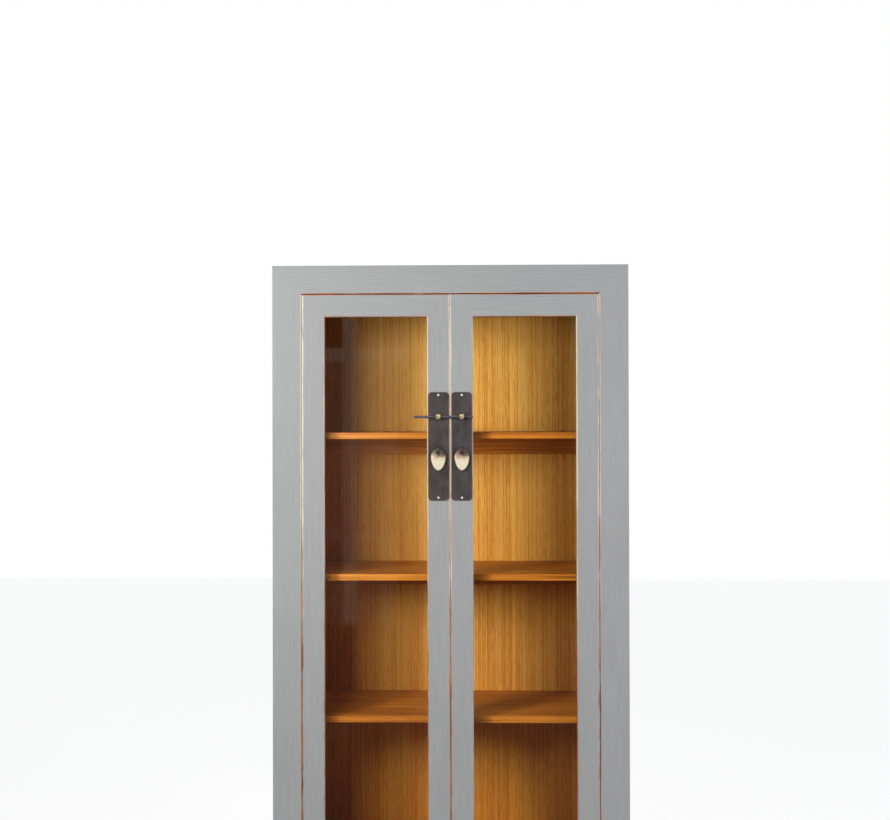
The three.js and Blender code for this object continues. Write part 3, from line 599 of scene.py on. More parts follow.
low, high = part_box("top_panel")
places = ((low.y, high.z), (high.y, high.z), (high.y, low.z), (low.y, low.z))
rail_inner = [near_and_far(f"{word}_top_rail", side)[0] for side, word in SIDES]
top_panel = member([corner_at(y, z) for y, z in places], PANEL_FINISHES, *rail_inner, (Y, Z, X), seed=63)
make_piece("top_panel", [top_panel], crosswise_finishes, "carcass")

# Back panel
# Straight-grained boards stained honey, which run from the floor to the top behind the shelves.
# The solid itself is kept and takes the stain.

HONEY_SHADES = ((0.670, 0.250, 0.032, 1), (0.900, 0.430, 0.072, 1), (0.990, 0.565, 0.135, 1))


def coat(node, material):
    """Gives a solid that is kept its finish."""
    for spot in frame["nodes"][node].material_slots:
        spot.material = material


coat("back_panel", stained_wood("honey back boards", Z, HONEY_SHADES))

# Shelves, their supports and the floor board
# Four boards with eased front edges, notched round the rear posts, on cleats at both ends and
# a rail under the back. They are stained redder than the back and varnished. The rail is painted
# lighter than the boards, standing in for light that reaches it under the shelf.

SHELF_NUMBERS = range(1, 5)
SHELF_ARRIS = 1.8 * MM
SHELF_EDGE_STEP = 5 * MM
NOTCH_CLEARANCE = 0.3 * MM
SHELF_SHADES = ((0.250, 0.056, 0.006, 1), (0.440, 0.128, 0.012, 1), (0.670, 0.245, 0.028, 1))
# Shelf wood painted lighter and with less contrast for the rail under the back: painted light, standing in
# for light that reaches the rail under the shelf.
RAIL_SHADES_PAINTED_LIGHTER = ((0.400, 0.100, 0.010, 1), (0.560, 0.165, 0.016, 1), (0.740, 0.270, 0.032, 1))


def shelf_wood(name, grain, shades=SHELF_SHADES):
    """Reddish wood: long wandering figure, finer lines over it and a thin varnish."""
    material, tree, shader = finish(name)
    dark, middle, pale = shades
    figure = drawn_noise(tree, grain, across=60, along=2.2, detail=3, offset=6.1, distortion=0.4)
    lines = drawn_noise(tree, grain, across=420, along=5, detail=3, offset=3.9)
    tone = weighted(tree, (figure, 0.6), (lines, 0.4))
    deep = between(tree, faded(tree, tone, (0.30, 0.50)), dark, middle)
    feed(tree, shader, {
        "Base Color": between(tree, faded(tree, tone, (0.42, 0.68)), deep, pale),
        "Roughness": faded(tree, figure, NOISE_SPAN, (0.30, 0.42)),
        "Specular IOR Level": 0.15,
        "Normal": raised(tree, lines, 0.2, 0.15 * MM),
    })
    return material


shelf_finish = shelf_wood("shelf wood along x", X)
cleat_finish = shelf_wood("shelf wood along y", Y)
lightened_rail_finish = shelf_wood("shelf rail wood painted lighter", X, RAIL_SHADES_PAINTED_LIGHTER)
notch_x = rear_inner - NOTCH_CLEARANCE
notch_y = rear_post_front - NOTCH_CLEARANCE
for number in SHELF_NUMBERS:
    name = f"shelf_{number}"
    low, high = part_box(name)
    notched = ((high.x, notch_y), (notch_x, notch_y), (notch_x, high.y),
               (-notch_x, high.y), (-notch_x, notch_y), (low.x, notch_y))
    front_edge = [corner_at(x, low.y, SHELF_ARRIS) for x in (low.x, high.x)]
    board = member(
        front_edge + [corner_at(x, y) for x, y in notched],
        [ONLY] * 8, low.z, high.z, (X, Y, Z), rounds=(SHELF_ARRIS, SHELF_ARRIS), step=SHELF_EDGE_STEP,
        seed=70 + number)
    make_piece(name, [board], [shelf_finish], "carcass")

    name = f"rear_shelf_rail_{number}"
    low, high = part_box(name)
    rail = member(
        [
            corner_at(low.z, low.y, RAIL_ARRIS),
            corner_at(high.z, low.y, RAIL_ARRIS),
            corner_at(high.z, high.y),
            corner_at(low.z, high.y),
        ],
        [ONLY] * 4, -rear_inner, rear_inner, (Z, Y, X), seed=80 + number)
    make_piece(name, [rail], [lightened_rail_finish], "carcass")

    for _, word in SIDES:
        coat(f"{word}_shelf_cleat_{number}", cleat_finish)
coat("floor_board", shelf_finish)
coat("upper_door_stop", shelf_finish)

# Door frames
# Two stiles and two rails, mitred in the face and tenoned behind, with a rabbet for the glass.
# The hinge stile carries a dowel that turns in the front rails. The doors are drawn a little
# fuller than the solids, so that the shut lines are as tight as they look on the real piece.

DOOR_ARRIS = 1.6 * MM
HINGE_ARRIS = 3.2 * MM
HEAD_ARRIS = 1.0 * MM
SHUT_CLOSER = 1.0 * MM
HEAD_CLOSER = 3.0 * MM
DOOR_RAIL_WIDTH = 48 * MM
LIP = 11 * MM
RABBET = 9 * MM
CREAM_HIGHLIGHT_REACH = 9 * MM
DOWEL_RADIUS = 5 * MM
DOWEL_INSET = 14 * MM
DOWEL_DEPTH = 10 * MM
DOWEL_ROOT = 8 * MM

# The arris radius, how much lacquer is kept and the paleness, at the outer and the inner edge.
# The paleness paints a cream highlight there.
MEETING_MARKS = {
    "left": ((DOOR_ARRIS, 0.1, 0.85), (DOOR_ARRIS, 0.04, 1.0)),
    "right": ((DOOR_ARRIS, 0.05, 1.0), (DOOR_ARRIS, 0.25, 0.55)),
}
HINGE_MARKS = {
    "left": ((HINGE_ARRIS, 0.1, 1.0), (DOOR_ARRIS, 0.15, 0.55)),
    "right": ((HINGE_ARRIS, 0.18, 0.65), (DOOR_ARRIS, 0.04, 1.0)),
}
RAIL_MARKS = ((HEAD_ARRIS, -0.11, 0.0), (RAIL_ARRIS, -0.06, 0.15))


def door_section(outer, inner, outer_mark, inner_mark):
    """Section of a stile or rail across the face and through it: a rectangle whose back inner
    corner is cut away as the rabbet. The painted cream highlight of the outer edge fades out a
    little way back into the shut line."""
    rabbet_side = inner - math.copysign(RABBET, inner - outer)
    corners = [
        corner_at(outer, FRONT, *outer_mark),
        corner_at(inner, FRONT, *inner_mark),
        corner_at(inner, FRONT + LIP, pale=inner_mark[2]),
        corner_at(rabbet_side, FRONT + LIP),
        corner_at(rabbet_side, DOOR_BACK),
        corner_at(outer, DOOR_BACK, DOOR_ARRIS, kept=0.6),
        corner_at(outer, FRONT + CREAM_HIGHLIGHT_REACH),
    ]
    return corners, [LACQUERED, GROUND, STAINED, STAINED, STAINED, GROUND, GROUND]


def mitred(outer, place, pitch):
    """A mitred end: it is at the place on the outer edge, and moves on by the pitch times the
    distance from that edge."""
    return lambda u: place + pitch * np.abs(u - outer)


def plain_shell(points, quads, caps, finish_number=ONLY):
    """A shell of one finish, with no rubbing, from a grid of points."""
    grid = points.reshape(-1, 3)
    return {
        "points": grid,
        "quads": quads,
        "caps": caps,
        "finish": np.full(len(quads), finish_number),
        "cap_finish": finish_number,
        "rub": np.ones(len(grid)),
        "pale": np.zeros(len(grid)),
    }


def plain_tube(points, finish_number=ONLY):
    """A shell from rings of points, closed at both ends."""
    count, around = points.shape[:2]
    return plain_shell(points, tube_faces(count, around), end_caps(count, around), finish_number)


def turned(profile, centre, along, around=40):
    """A profile of (radius, distance) points turned about a line through the centre: the ring at
    distance d is centre + along d + radius (cos t, sin t) in the two other axes."""
    turn = np.linspace(0, 2 * np.pi, around, endpoint=False)
    radius, distance = np.array(profile).T[..., None]
    first, second = (axis for axis in (X, Y, Z) if axis != along)
    return laid_out((first, second, along), centre[first] + radius * np.cos(turn),
                    centre[second] + radius * np.sin(turn), centre[along] + distance)


def dowel_stub(x, start, end):
    """A round stub of the pivot dowel, standing upright."""
    profile = [(DOWEL_RADIUS, height) for height in np.linspace(start, end, 4)]
    return plain_tube(turned(profile, (x, FRONT + DOWEL_DEPTH, 0), Z, around=32), GROUND)


for side, word in SIDES:
    body = f"{word}_door"
    low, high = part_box(f"{word}_door_meeting_stile")
    free, meeting_inner = near_and_far(f"{word}_door_meeting_stile", side)
    free -= side * SHUT_CLOSER
    hinge_low, hinge_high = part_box(f"{word}_door_hinge_stile")
    hinge_inner, hinge = near_and_far(f"{word}_door_hinge_stile", side)
    dowel_x = hinge - side * DOWEL_INSET
    hinge += side * SHUT_CLOSER
    bottom, top = low.z, high.z + HEAD_CLOSER
    stile_width = abs(meeting_inner - free)
    foot_pitch = DOOR_RAIL_WIDTH / stile_width
    head_pitch = (DOOR_RAIL_WIDTH + HEAD_CLOSER) / stile_width
    stubs = [dowel_stub(dowel_x, hinge_low.z, bottom + DOWEL_ROOT),
             dowel_stub(dowel_x, top - DOWEL_ROOT, hinge_high.z)]
    for stile, outer, inner, marks, extras in (
            ("meeting", free, meeting_inner, MEETING_MARKS[word], []),
            ("hinge", hinge, hinge_inner, HINGE_MARKS[word], stubs)):
        upright = member(
            *door_section(outer, inner, *marks),
            mitred(outer, bottom, foot_pitch), mitred(outer, top, -head_pitch),
            (X, Y, Z), seed=100 + 10 * side + len(stile), hand=0.15)
        make_piece(f"{word}_door_{stile}_stile", [upright, *extras], upright_finishes, body)
    left_end, right_end = sorted((free, hinge))
    for level, outer, inner, pitch in (
            ("top", top, top - DOOR_RAIL_WIDTH - HEAD_CLOSER, head_pitch),
            ("bottom", bottom, bottom + DOOR_RAIL_WIDTH, foot_pitch)):
        rail = member(
            *door_section(outer, inner, *RAIL_MARKS),
            mitred(outer, left_end, 1 / pitch), mitred(outer, right_end, -1 / pitch),
            (Z, Y, X), seed=130 + 10 * side)
        make_piece(f"{word}_door_{level}_rail", [rail], crosswise_finishes, body)

# Panes and glazing beads
# Thin clear glass lies against the lip of the rabbet, held by four mitred strips behind it.
# The glass lets lamps through, and its faces only mirror what is in front of them.

GLASS_TINT = (0.965, 0.975, 0.965, 1)
GLASS_MIRROR_SHARES = (0.02, 0.9)
BEAD_CLEARANCE = 0.3 * MM
BEAD_ARRIS = 0.8 * MM


def unshaded(name):
    """A new material and its node tree, without the Principled shader."""
    material, tree, shader = finish(name)
    tree.nodes.remove(shader)
    return material, tree


def show(tree, shader, output="Material Output"):
    """Leads a shader to the surface."""
    tree.links.new(shader.outputs[0], tree.nodes[output].inputs["Surface"])


def pane_glass(name):
    """Clear glass: see-through, with a mirror of 2 per cent that grows steeply towards grazing."""
    material, tree = unshaded(name)
    clear = put(tree, "ShaderNodeBsdfTransparent", {"Color": GLASS_TINT})
    mirror = put(tree, "ShaderNodeBsdfGlossy", {"Color": (1, 1, 1, 1), "Roughness": 0.02})
    facing = put(tree, "ShaderNodeLayerWeight", {"Blend": 0.5}).outputs["Facing"]
    share = faded(tree, maths(tree, "POWER", facing, 5.0), (0.0, 1.0), GLASS_MIRROR_SHARES)
    show(tree, put(tree, "ShaderNodeMixShader", {0: share, 1: clear.outputs[0], 2: mirror.outputs[0]}))
    return material


glass = pane_glass("pane glass")
for _, word in SIDES:
    coat(f"{word}_door_glass", glass)
    name = f"{word}_door_glazing_bead"
    low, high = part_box(name)
    reach = RABBET - BEAD_CLEARANCE
    strips = []
    for span, ends, axes, seed in (
            ((low.x, high.x), (low.z, high.z), (X, Y, Z), 150),
            ((low.z, high.z), (low.x, high.x), (Z, Y, X), 151)):
        for outer, inner in ((span[0], span[0] + reach), (span[1], span[1] - reach)):
            corners = [
                corner_at(outer, low.y),
                corner_at(inner, low.y),
                corner_at(inner, high.y, BEAD_ARRIS),
                corner_at(outer, high.y),
            ]
            strips.append(member(
                corners, [ONLY] * 4, mitred(outer, ends[0], 1), mitred(outer, ends[1], -1),
                axes, seed=seed))
    make_piece(name, strips, [upright_finishes[STAINED]], f"{word}_door")

# Face plates
# A long plate with round corners on each meeting stile, cut from sheet and browned. Handling
# has rubbed its edges to a warmer brown. Its inner edge is drawn a little closer to the middle
# than the solid's, as the shut line is.

PLATE_CORNER = 9.0 * MM
PLATE_EDGE = 0.5 * MM
PLATE_STEP = 0.4 * MM
PLATE_CLOSERS = {"left": 1.6 * MM, "right": 0.9 * MM}
PLATE_SHADES = ((0.050, 0.043, 0.043, 1), (0.084, 0.072, 0.069, 1))
PLATE_SPECK = (0.150, 0.125, 0.105, 1)
PLATE_WORN = (0.190, 0.110, 0.070, 1)


def browned_metal(name):
    """Dark browned metal: cloudy patches of grey and brown, fine scratches and a brown edge."""
    material, tree, shader = finish(name)
    patches = drawn_noise(tree, Z, across=60, along=35, detail=5, offset=2.2)
    specks = drawn_noise(tree, Z, across=900, along=700, offset=9.4)
    dark = between(tree, faded(tree, patches, (0.35, 0.65)), *PLATE_SHADES)
    dark = between(tree, faded(tree, specks, (0.58, 0.75), (0.0, 0.5)), dark, PLATE_SPECK)
    width = faded(tree, patches, NOISE_SPAN, (0.0, 0.3))
    beyond = maths(tree, "SUBTRACT", attribute(tree, "rub"), width)
    worn = faded(tree, beyond, (-0.1, 0.35), (0.85, 0.0))
    relief = maths(tree, "ADD", patches, maths(tree, "MULTIPLY", specks, 0.2))
    feed(tree, shader, {
        "Base Color": between(tree, worn, dark, PLATE_WORN),
        "Metallic": 0.25,
        "Roughness": faded(tree, patches, NOISE_SPAN, (0.42, 0.58)),
        "Normal": raised(tree, relief, 0.35, 0.6 * MM),
    })
    return material


plate_finish = browned_metal("browned plate")
for side, word in SIDES:
    name = f"{word}_door_plate"
    low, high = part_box(name)
    inner, outer = near_and_far(name, side)
    inner -= side * PLATE_CLOSERS[word]
    places = ((outer, low.z), (inner, low.z), (inner, high.z), (outer, high.z))
    plate = member(
        [corner_at(x, z, PLATE_CORNER) for x, z in places], [ONLY] * 4, low.y, high.y, (X, Z, Y),
        rounds=(PLATE_EDGE, 0), step=PLATE_STEP, hand=0.12, seed=160)
    make_piece(name, [plate], [plate_finish], f"{word}_door")

# Plate nails
# Two domed brass nails hold each plate, one near either end. Each head is turned in one piece
# with its shank, which runs into the stile and ends in a point.

NAIL_BRASS = (1.0, 0.95, 0.88, 1)
NAIL_SHANK = 0.9 * MM
NAIL_POINT = 0.1 * MM
NAIL_TAPER = 2 * MM
NAIL_SEAT = 0.1 * MM
NAIL_SEAT_SHARE = 0.97
NAIL_DOME = np.linspace(0.03, 1, 10) * np.pi / 2
DULL_SHARE = 0.72


def polished_brass(name, base, roughness, metal=1.0):
    """Polished brass with a little tarnish in clouds, and fine wiping marks."""
    material, tree, shader = finish(name)
    tarnish = drawn_noise(tree, Z, across=130, along=130, detail=4, offset=5.5)
    wiping = drawn_noise(tree, X, across=2500, along=200, detail=1, offset=1.2)
    dull = tuple(share * DULL_SHARE for share in base[:3]) + (1,)
    feed(tree, shader, {
        "Base Color": between(tree, faded(tree, tarnish, (0.4, 0.7)), base, dull),
        "Metallic": metal,
        "Roughness": faded(tree, tarnish, NOISE_SPAN, (roughness, roughness + 0.14)),
        "Normal": raised(tree, wiping, 0.15, 0.05 * MM),
    })
    return material


nail_brass = polished_brass("nail brass", NAIL_BRASS, 0.22, 0.5)
for _, word in SIDES:
    for level in ("upper", "lower"):
        name = f"{word}_{level}_plate_nail"
        low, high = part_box(name)
        centre = ((low.x + high.x) / 2, 0, (low.z + high.z) / 2)
        radius = (high.x - low.x) / 2
        plate_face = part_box(f"{word}_door_plate")[0].y
        head = plate_face - low.y
        profile = [(radius * math.sin(angle), plate_face - head * math.cos(angle))
                   for angle in NAIL_DOME]
        profile += [(radius * NAIL_SEAT_SHARE, plate_face + NAIL_SEAT),
                    (NAIL_SHANK, plate_face + 2 * NAIL_SEAT),
                    (NAIL_SHANK, high.y - NAIL_TAPER), (NAIL_POINT, high.y)]
        nail = plain_tube(turned(profile, centre, Y))
        make_piece(name, [nail], [nail_brass], f"{word}_door")

# Eyes for the pin
# A waisted brass spool on each plate. It is bent from strip, and its legs go through the stile
# and are bent over behind it.

EYE_WIDTH = 12 * MM
EYE_RADIUS = 7 * MM
EYE_WAIST = 0.9 * MM
EYE_LIP = 0.45 * MM
EYE_BORE = 3.8 * MM
EYE_FLARE = 0.5 * MM
LEG_WIDTH = 8 * MM
LEG_THICKNESS = 3.2 * MM
LEG_ARRIS = 0.5 * MM
CLINCH_REACH = 9 * MM
CLINCH_THICKNESS = 1.5 * MM
# The spool's painted highlight in the middle, its reach and border, and the dark painted shade towards its
# lips, top and bottom.
EYE_HIGHLIGHT_REACH = 4.1 * MM
EYE_HIGHLIGHT_BORDER = 1.2 * MM
EYE_CLOUDS = 0.6 * MM
EYE_ROUND_SHARE = 0.8
EYE_GOLD = ((1.0, 0.80, 0.46, 1), (0.78, 0.57, 0.29, 1))
EYE_PAINTED_SHADE = (0.045, 0.030, 0.020, 1)


def closed_grid(points):
    """A shell from a grid of points that closes on itself both ways, as a ring does."""
    count, around = points.shape[:2]
    return plain_shell(points, tube_faces(count + 1, around) % (count * around), [])


def spool(centre):
    """A sleeve along x. For w from -1 to 1 along it, its outer radius is the full radius less the
    waist times (1 - w to the 4th) and the lip times w to the 12th, and its bore grows by the
    flare times w to the 8th."""
    w = np.linspace(-1, 1, 25)
    outside = EYE_RADIUS - EYE_WAIST * (1 - w ** 4) - EYE_LIP * w ** 12
    inside = EYE_BORE + EYE_FLARE * w ** 8
    profile = [*zip(outside, w * EYE_WIDTH / 2), *zip(inside[::-1], w[::-1] * EYE_WIDTH / 2)]
    return closed_grid(turned(profile, centre, X, around=64))


def strip(low, high, along, arris):
    """A bar between two corners of its box. Its section is a rectangle with each corner of radius
    r rounded as corner + r (out - into) + r (into sin t - out cos t), and it is drawn in by
    r (1 - cos t) over the last r (1 - sin t) at both ends."""
    first, second = (axis for axis in (X, Y, Z) if axis != along)
    places = np.array([(low[first], low[second]), (high[first], low[second]),
                       (high[first], high[second]), (low[first], high[second])])
    turn = np.linspace(0, np.pi / 2, 5)[:, None]
    ring = np.concatenate([
        place + arris * (out - into) + arris * (into * np.sin(turn) - out * np.cos(turn))
        for place, into, out in zip(places, *edge_directions(places))])
    bend = np.linspace(np.pi / 2, 0, 4)
    inset, back = arris * (1 - np.cos(bend)), arris * (1 - np.sin(bend))
    inset = np.concatenate([inset, inset[::-1]])[:, None, None]
    run = np.concatenate([low[along] + back, high[along] - back[::-1]])[:, None]
    middle, half = (places[0] + places[2]) / 2, (places[2] - places[0]) / 2
    rings = middle + (ring - middle) * (1 - inset / half)
    return plain_tube(laid_out((first, second, along), rings[..., 0], rings[..., 1], run))


def eye_brass_painted_light(name, middle, height):
    """Brass with a painted highlight round the middle of the spool, gold in clouds, turning to
    dark painted shade towards its lips, its top and its bottom."""
    material, tree, shader = finish(name)
    aside = maths(tree, "ABSOLUTE", maths(tree, "SUBTRACT", place_along(tree, X), middle))
    above = maths(tree, "ABSOLUTE", maths(tree, "SUBTRACT", place_along(tree, Z), height))
    away = maths(tree, "MAXIMUM", aside, maths(tree, "MULTIPLY", above, EYE_ROUND_SHARE))
    clouds = drawn_noise(tree, Z, across=300, along=300, detail=3, offset=5.5)
    away = maths(tree, "ADD", away, faded(tree, clouds, NOISE_SPAN, (-EYE_CLOUDS, EYE_CLOUDS)))
    dull = faded(tree, away, (EYE_HIGHLIGHT_REACH, EYE_HIGHLIGHT_REACH + EYE_HIGHLIGHT_BORDER))
    gold = between(tree, faded(tree, clouds, (0.35, 0.65)), *EYE_GOLD)
    feed(tree, shader, {
        "Base Color": between(tree, dull, gold, EYE_PAINTED_SHADE),
        "Metallic": 0.55,
        "Roughness": 0.28,
    })
    return material


for _, word in SIDES:
    name = f"{word}_pin_eye"
    low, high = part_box(name)
    x, y, z = (low.x + high.x) / 2, low.y + EYE_RADIUS, (low.z + high.z) / 2
    leg_left, leg_right = x - LEG_WIDTH / 2, x + LEG_WIDTH / 2
    leg = strip((leg_left, y + (EYE_BORE + EYE_RADIUS) / 2, z - LEG_THICKNESS / 2),
                (leg_right, high.y, z + LEG_THICKNESS / 2), Y, LEG_ARRIS)
    clinch = strip((leg_left, high.y - CLINCH_THICKNESS, z - CLINCH_REACH),
                   (leg_right, high.y, z + CLINCH_REACH), Z, LEG_ARRIS)
    make_piece(name, [spool((x, y, z)), leg, clinch], [eye_brass_painted_light(f"{word} eye brass with painted light", x, z)],
               f"{word}_door")

# Pulls and their staples
# A teardrop cut from shallow domed brass hangs by its hole from a wire ring, whose shank goes
# through the stile and is bent over behind it. The sheet is painted dark at the top and bright
# below, a painted reflection of a dark room above and a pale floor below, with some tarnish in
# the dark part. Its rim and hole are painted dark as shade.

PULL_HEIGHT = 51.5 * MM
PULL_HALF_WIDTH = 16.8 * MM
PULL_THICKNESS = 1.8 * MM
PULL_DOME = 80 * MM
PULL_HOLE_BELOW_TOP = 9.1 * MM
PULL_HOLE = 2.2 * MM
PULL_BEVEL = 0.42 * MM
HOLE_BEVEL_SHARE = 0.06
RIM_BEVEL_SHARE = 0.07
REAR_BEVEL_SHARE = 0.6
WIDEST_SHARE = 0.41
PULL_RIM_SHARE = 0.09
TOP_POWER = 2
TIP_POWER = 1.85
RING_MEAN = 5.5 * MM
WIRE = 1.0 * MM
SHANK = 1.6 * MM
SHANK_SHOULDER = 0.4 * MM
SHANK_BEVEL = 0.3 * MM
SHANK_TOP_SHARE = 0.9
SHANK_END_SHARE = 0.8
STAPLE_CLINCH_REACH = 5 * MM
STAPLE_ARRIS = 0.4 * MM


def teardrop(x, top, ring_y):
    """Closed sheet between two domes. Around, angle t gives the outline: half width times
    cos t to 2/p across and height times sin t to 2/p up, where p is 2 above the widest place
    and 1.85 below it. Each place of the sheet is a share of the way from the hole's edge
    straight out to the outline. Through, it goes over the front from hole to rim, round the
    edge and back over the rear."""
    above = PULL_HEIGHT * WIDEST_SHARE
    hole_z = top - PULL_HOLE_BELOW_TOP
    widest = top - above
    middle = top - PULL_HEIGHT / 2
    turn = np.linspace(0, 2 * np.pi, 120, endpoint=False)
    across, up = np.cos(turn), np.sin(turn)
    bend = np.where(up >= 0, 2 / TOP_POWER, 2 / TIP_POWER)
    rim_x = PULL_HALF_WIDTH * np.sign(across) * np.abs(across) ** bend
    rim_z = widest + np.where(up >= 0, above, PULL_HEIGHT - above) * np.sign(up) * np.abs(up) ** bend
    aim = np.arctan2(rim_z - hole_z, rim_x)
    edge_x, edge_z = PULL_HOLE * np.cos(aim), hole_z + PULL_HOLE * np.sin(aim)
    out = np.concatenate([[0, 0.03, 0.07], np.linspace(0.12, 0.94, 22), [0.965, 0.982, 0.993, 1.0]])
    bevel = PULL_BEVEL * (np.clip(1 - (1 - out) / RIM_BEVEL_SHARE, 0, 1) ** 2
                          + np.clip(1 - out / HOLE_BEVEL_SHARE, 0, 1) ** 2)
    shares = np.concatenate([out, out[::-1]])
    depth = np.concatenate([bevel, PULL_THICKNESS - bevel[::-1] * REAR_BEVEL_SHARE])
    px = edge_x + (rim_x - edge_x) * shares[:, None]
    pz = edge_z + (rim_z - edge_z) * shares[:, None]
    dome_y = ring_y + math.sqrt((PULL_DOME - PULL_THICKNESS / 2) ** 2 - (hole_z - middle) ** 2)
    radius = PULL_DOME - depth[:, None]
    py = dome_y - np.sqrt(radius ** 2 - px ** 2 - (pz - middle) ** 2)
    sheet = closed_grid(np.stack([px + x, py, pz], axis=-1))
    # Nearness to the rim and to the hole, where the pull's finish paints a dark shade.
    near = np.minimum(1 - shares, shares) / PULL_RIM_SHARE
    sheet["rub"] = np.repeat(np.clip(near, 0, 1), len(turn))
    return sheet


def wire_ring(x, y, z):
    """A torus in the side view: y and z run round the mean circle, and the wire round that."""
    turn = np.linspace(0, 2 * np.pi, 56, endpoint=False)[:, None]
    wire = np.linspace(0, 2 * np.pi, 16, endpoint=False)
    reach = RING_MEAN + WIRE * np.cos(wire)
    return closed_grid(laid_out(
        (X, Y, Z), x + WIRE * np.sin(wire), y + reach * np.cos(turn), z + reach * np.sin(turn)))


# Heights below the top at which the painted reflection turns warm and then bright, and its colours.
REFLECTION_WARM_BELOW_TOP = (13 * MM, 22 * MM)
REFLECTION_BRIGHT_BELOW_TOP = (19 * MM, 29 * MM)
PULL_CLOUDS = 2.5 * MM
PULL_TARNISH_AND_DARK_REFLECTION = ((0.120, 0.085, 0.065, 1), (0.200, 0.150, 0.120, 1))
PULL_WARM_REFLECTION = (0.800, 0.560, 0.370, 1)
PULL_BRIGHT_REFLECTION = (1.0, 0.895, 0.655, 1)
# The dark colour painted at the rim and the hole as shade.
PULL_RIM_SHADE = (0.090, 0.060, 0.040, 1)
STAPLE_BRASS = (0.13, 0.10, 0.075, 1)


def pull_brass_painted_light(name, top):
    """Brass painted dark above, warm half way and bright below as a painted reflection, with
    clouds of tarnish in the dark part, each border blurred by clouds, a rim and hole painted
    dark as shade, and thin scratches across."""
    material, tree, shader = finish(name)
    clouds = drawn_noise(tree, Z, across=240, along=240, detail=4, offset=3.1)
    scratches = drawn_noise(tree, X, across=1800, along=160, offset=6.6)
    drop = maths(tree, "SUBTRACT", top, place_along(tree, Z))
    edge = maths(tree, "ADD", drop, faded(tree, clouds, NOISE_SPAN, (-PULL_CLOUDS, PULL_CLOUDS)))
    warm, bright = faded(tree, edge, REFLECTION_WARM_BELOW_TOP), faded(tree, edge, REFLECTION_BRIGHT_BELOW_TOP)
    tarnish = between(tree, faded(tree, clouds, (0.35, 0.65)), *PULL_TARNISH_AND_DARK_REFLECTION)
    painted_reflection = between(tree, bright, between(tree, warm, tarnish, PULL_WARM_REFLECTION), PULL_BRIGHT_REFLECTION)
    clear_of_rim_shade = faded(tree, attribute(tree, "rub"), (0.3, 1.0))
    feed(tree, shader, {
        "Base Color": between(tree, clear_of_rim_shade, PULL_RIM_SHADE, painted_reflection),
        "Metallic": faded(tree, warm, (0.0, 1.0), (0.55, 0.0)),
        "Roughness": faded(tree, warm, (0.0, 1.0), (0.36, 0.26)),
        "Normal": raised(tree, scratches, 0.25, 0.05 * MM),
    })
    return material


pull_finish = pull_brass_painted_light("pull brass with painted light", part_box("left_pull")[1].z)
staple_brass = polished_brass("staple brass", STAPLE_BRASS, 0.34)
for _, word in SIDES:
    name = f"{word}_pull"
    low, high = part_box(name)
    x = (low.x + high.x) / 2
    staple_low, staple_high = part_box(f"{word}_pull_staple")
    ring_y, end_y = staple_low.y + RING_MEAN + WIRE, staple_high.y
    ring_z = (staple_low.z + staple_high.z) / 2
    make_piece(name, [teardrop(x, high.z, ring_y)], [pull_finish], name)
    profile = [(SHANK * SHANK_TOP_SHARE, ring_y + RING_MEAN - SHANK_SHOULDER), (SHANK, ring_y + RING_MEAN),
               (SHANK, end_y - SHANK_BEVEL), (SHANK * SHANK_END_SHARE, end_y)]
    shank = plain_tube(turned(profile, (x, 0, ring_z), Y, around=24))
    clinch = strip((x - SHANK, end_y - CLINCH_THICKNESS, ring_z - STAPLE_CLINCH_REACH),
                   (x + SHANK, end_y, ring_z + STAPLE_CLINCH_REACH), Z, STAPLE_ARRIS)
    make_piece(f"{word}_pull_staple", [wire_ring(x, ring_y, ring_z), shank, clinch],
               [staple_brass], f"{word}_door")

# Sliding pin
# A blued steel pin through both eyes, rounded at the tail and tapered at the tip. It is burnished
# where the eyes rub it.

PIN_ROUNDING = 1.0 * MM
PIN_TAIL = 3 * MM
PIN_TAPER = 16 * MM
PIN_TIP_RADIUS = 2.0 * MM
STEEL_SHADES = ((0.100, 0.102, 0.116, 1), (0.170, 0.174, 0.192, 1))


def blued_steel(name):
    """Blue-grey steel, burnished in bands along its length by the eyes that it runs in."""
    material, tree, shader = finish(name)
    bands = drawn_noise(tree, Y, across=160, along=160, detail=3, offset=1.9)
    marks = drawn_noise(tree, X, across=2200, along=120, offset=4.8)
    feed(tree, shader, {
        "Base Color": between(tree, faded(tree, bands, (0.35, 0.65)), *STEEL_SHADES),
        "Metallic": 0.6,
        "Roughness": faded(tree, bands, NOISE_SPAN, (0.30, 0.45)),
        "Normal": raised(tree, marks, 0.25, 0.05 * MM),
    })
    return material


def rounded_end(radius, end, inwards):
    """Profile of a rounded end of radius r, as r sin t outwards and r (1 - cos t) in from it."""
    turn = np.linspace(0.04, 1, 7) * np.pi / 2
    return [(radius - PIN_ROUNDING + PIN_ROUNDING * math.sin(angle),
             end + inwards * PIN_ROUNDING * (1 - math.cos(angle))) for angle in turn]


low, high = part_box("slide_pin")
pin_radius = (high.y - low.y) / 2
pin_run = [(pin_radius, x) for x in np.linspace(low.x + PIN_TAIL, high.x - PIN_TAPER, 30)]
profile = rounded_end(pin_radius, low.x, 1) + pin_run + rounded_end(PIN_TIP_RADIUS, high.x, -1)[::-1]
pin = plain_tube(turned(profile, (0, (low.y + high.y) / 2, (low.z + high.z) / 2), X, around=48))
make_piece("slide_pin", [pin], [blued_steel("blued steel")], "slide_pin")

# Studio
# A pale floor and a white surround. Each lamp lights its own part of the cabinet: two window
# lamps only what is behind the glass, and the others mainly the outside. Dim cards in front,
# which only gloss shows, give the panes a faint dark reflection.

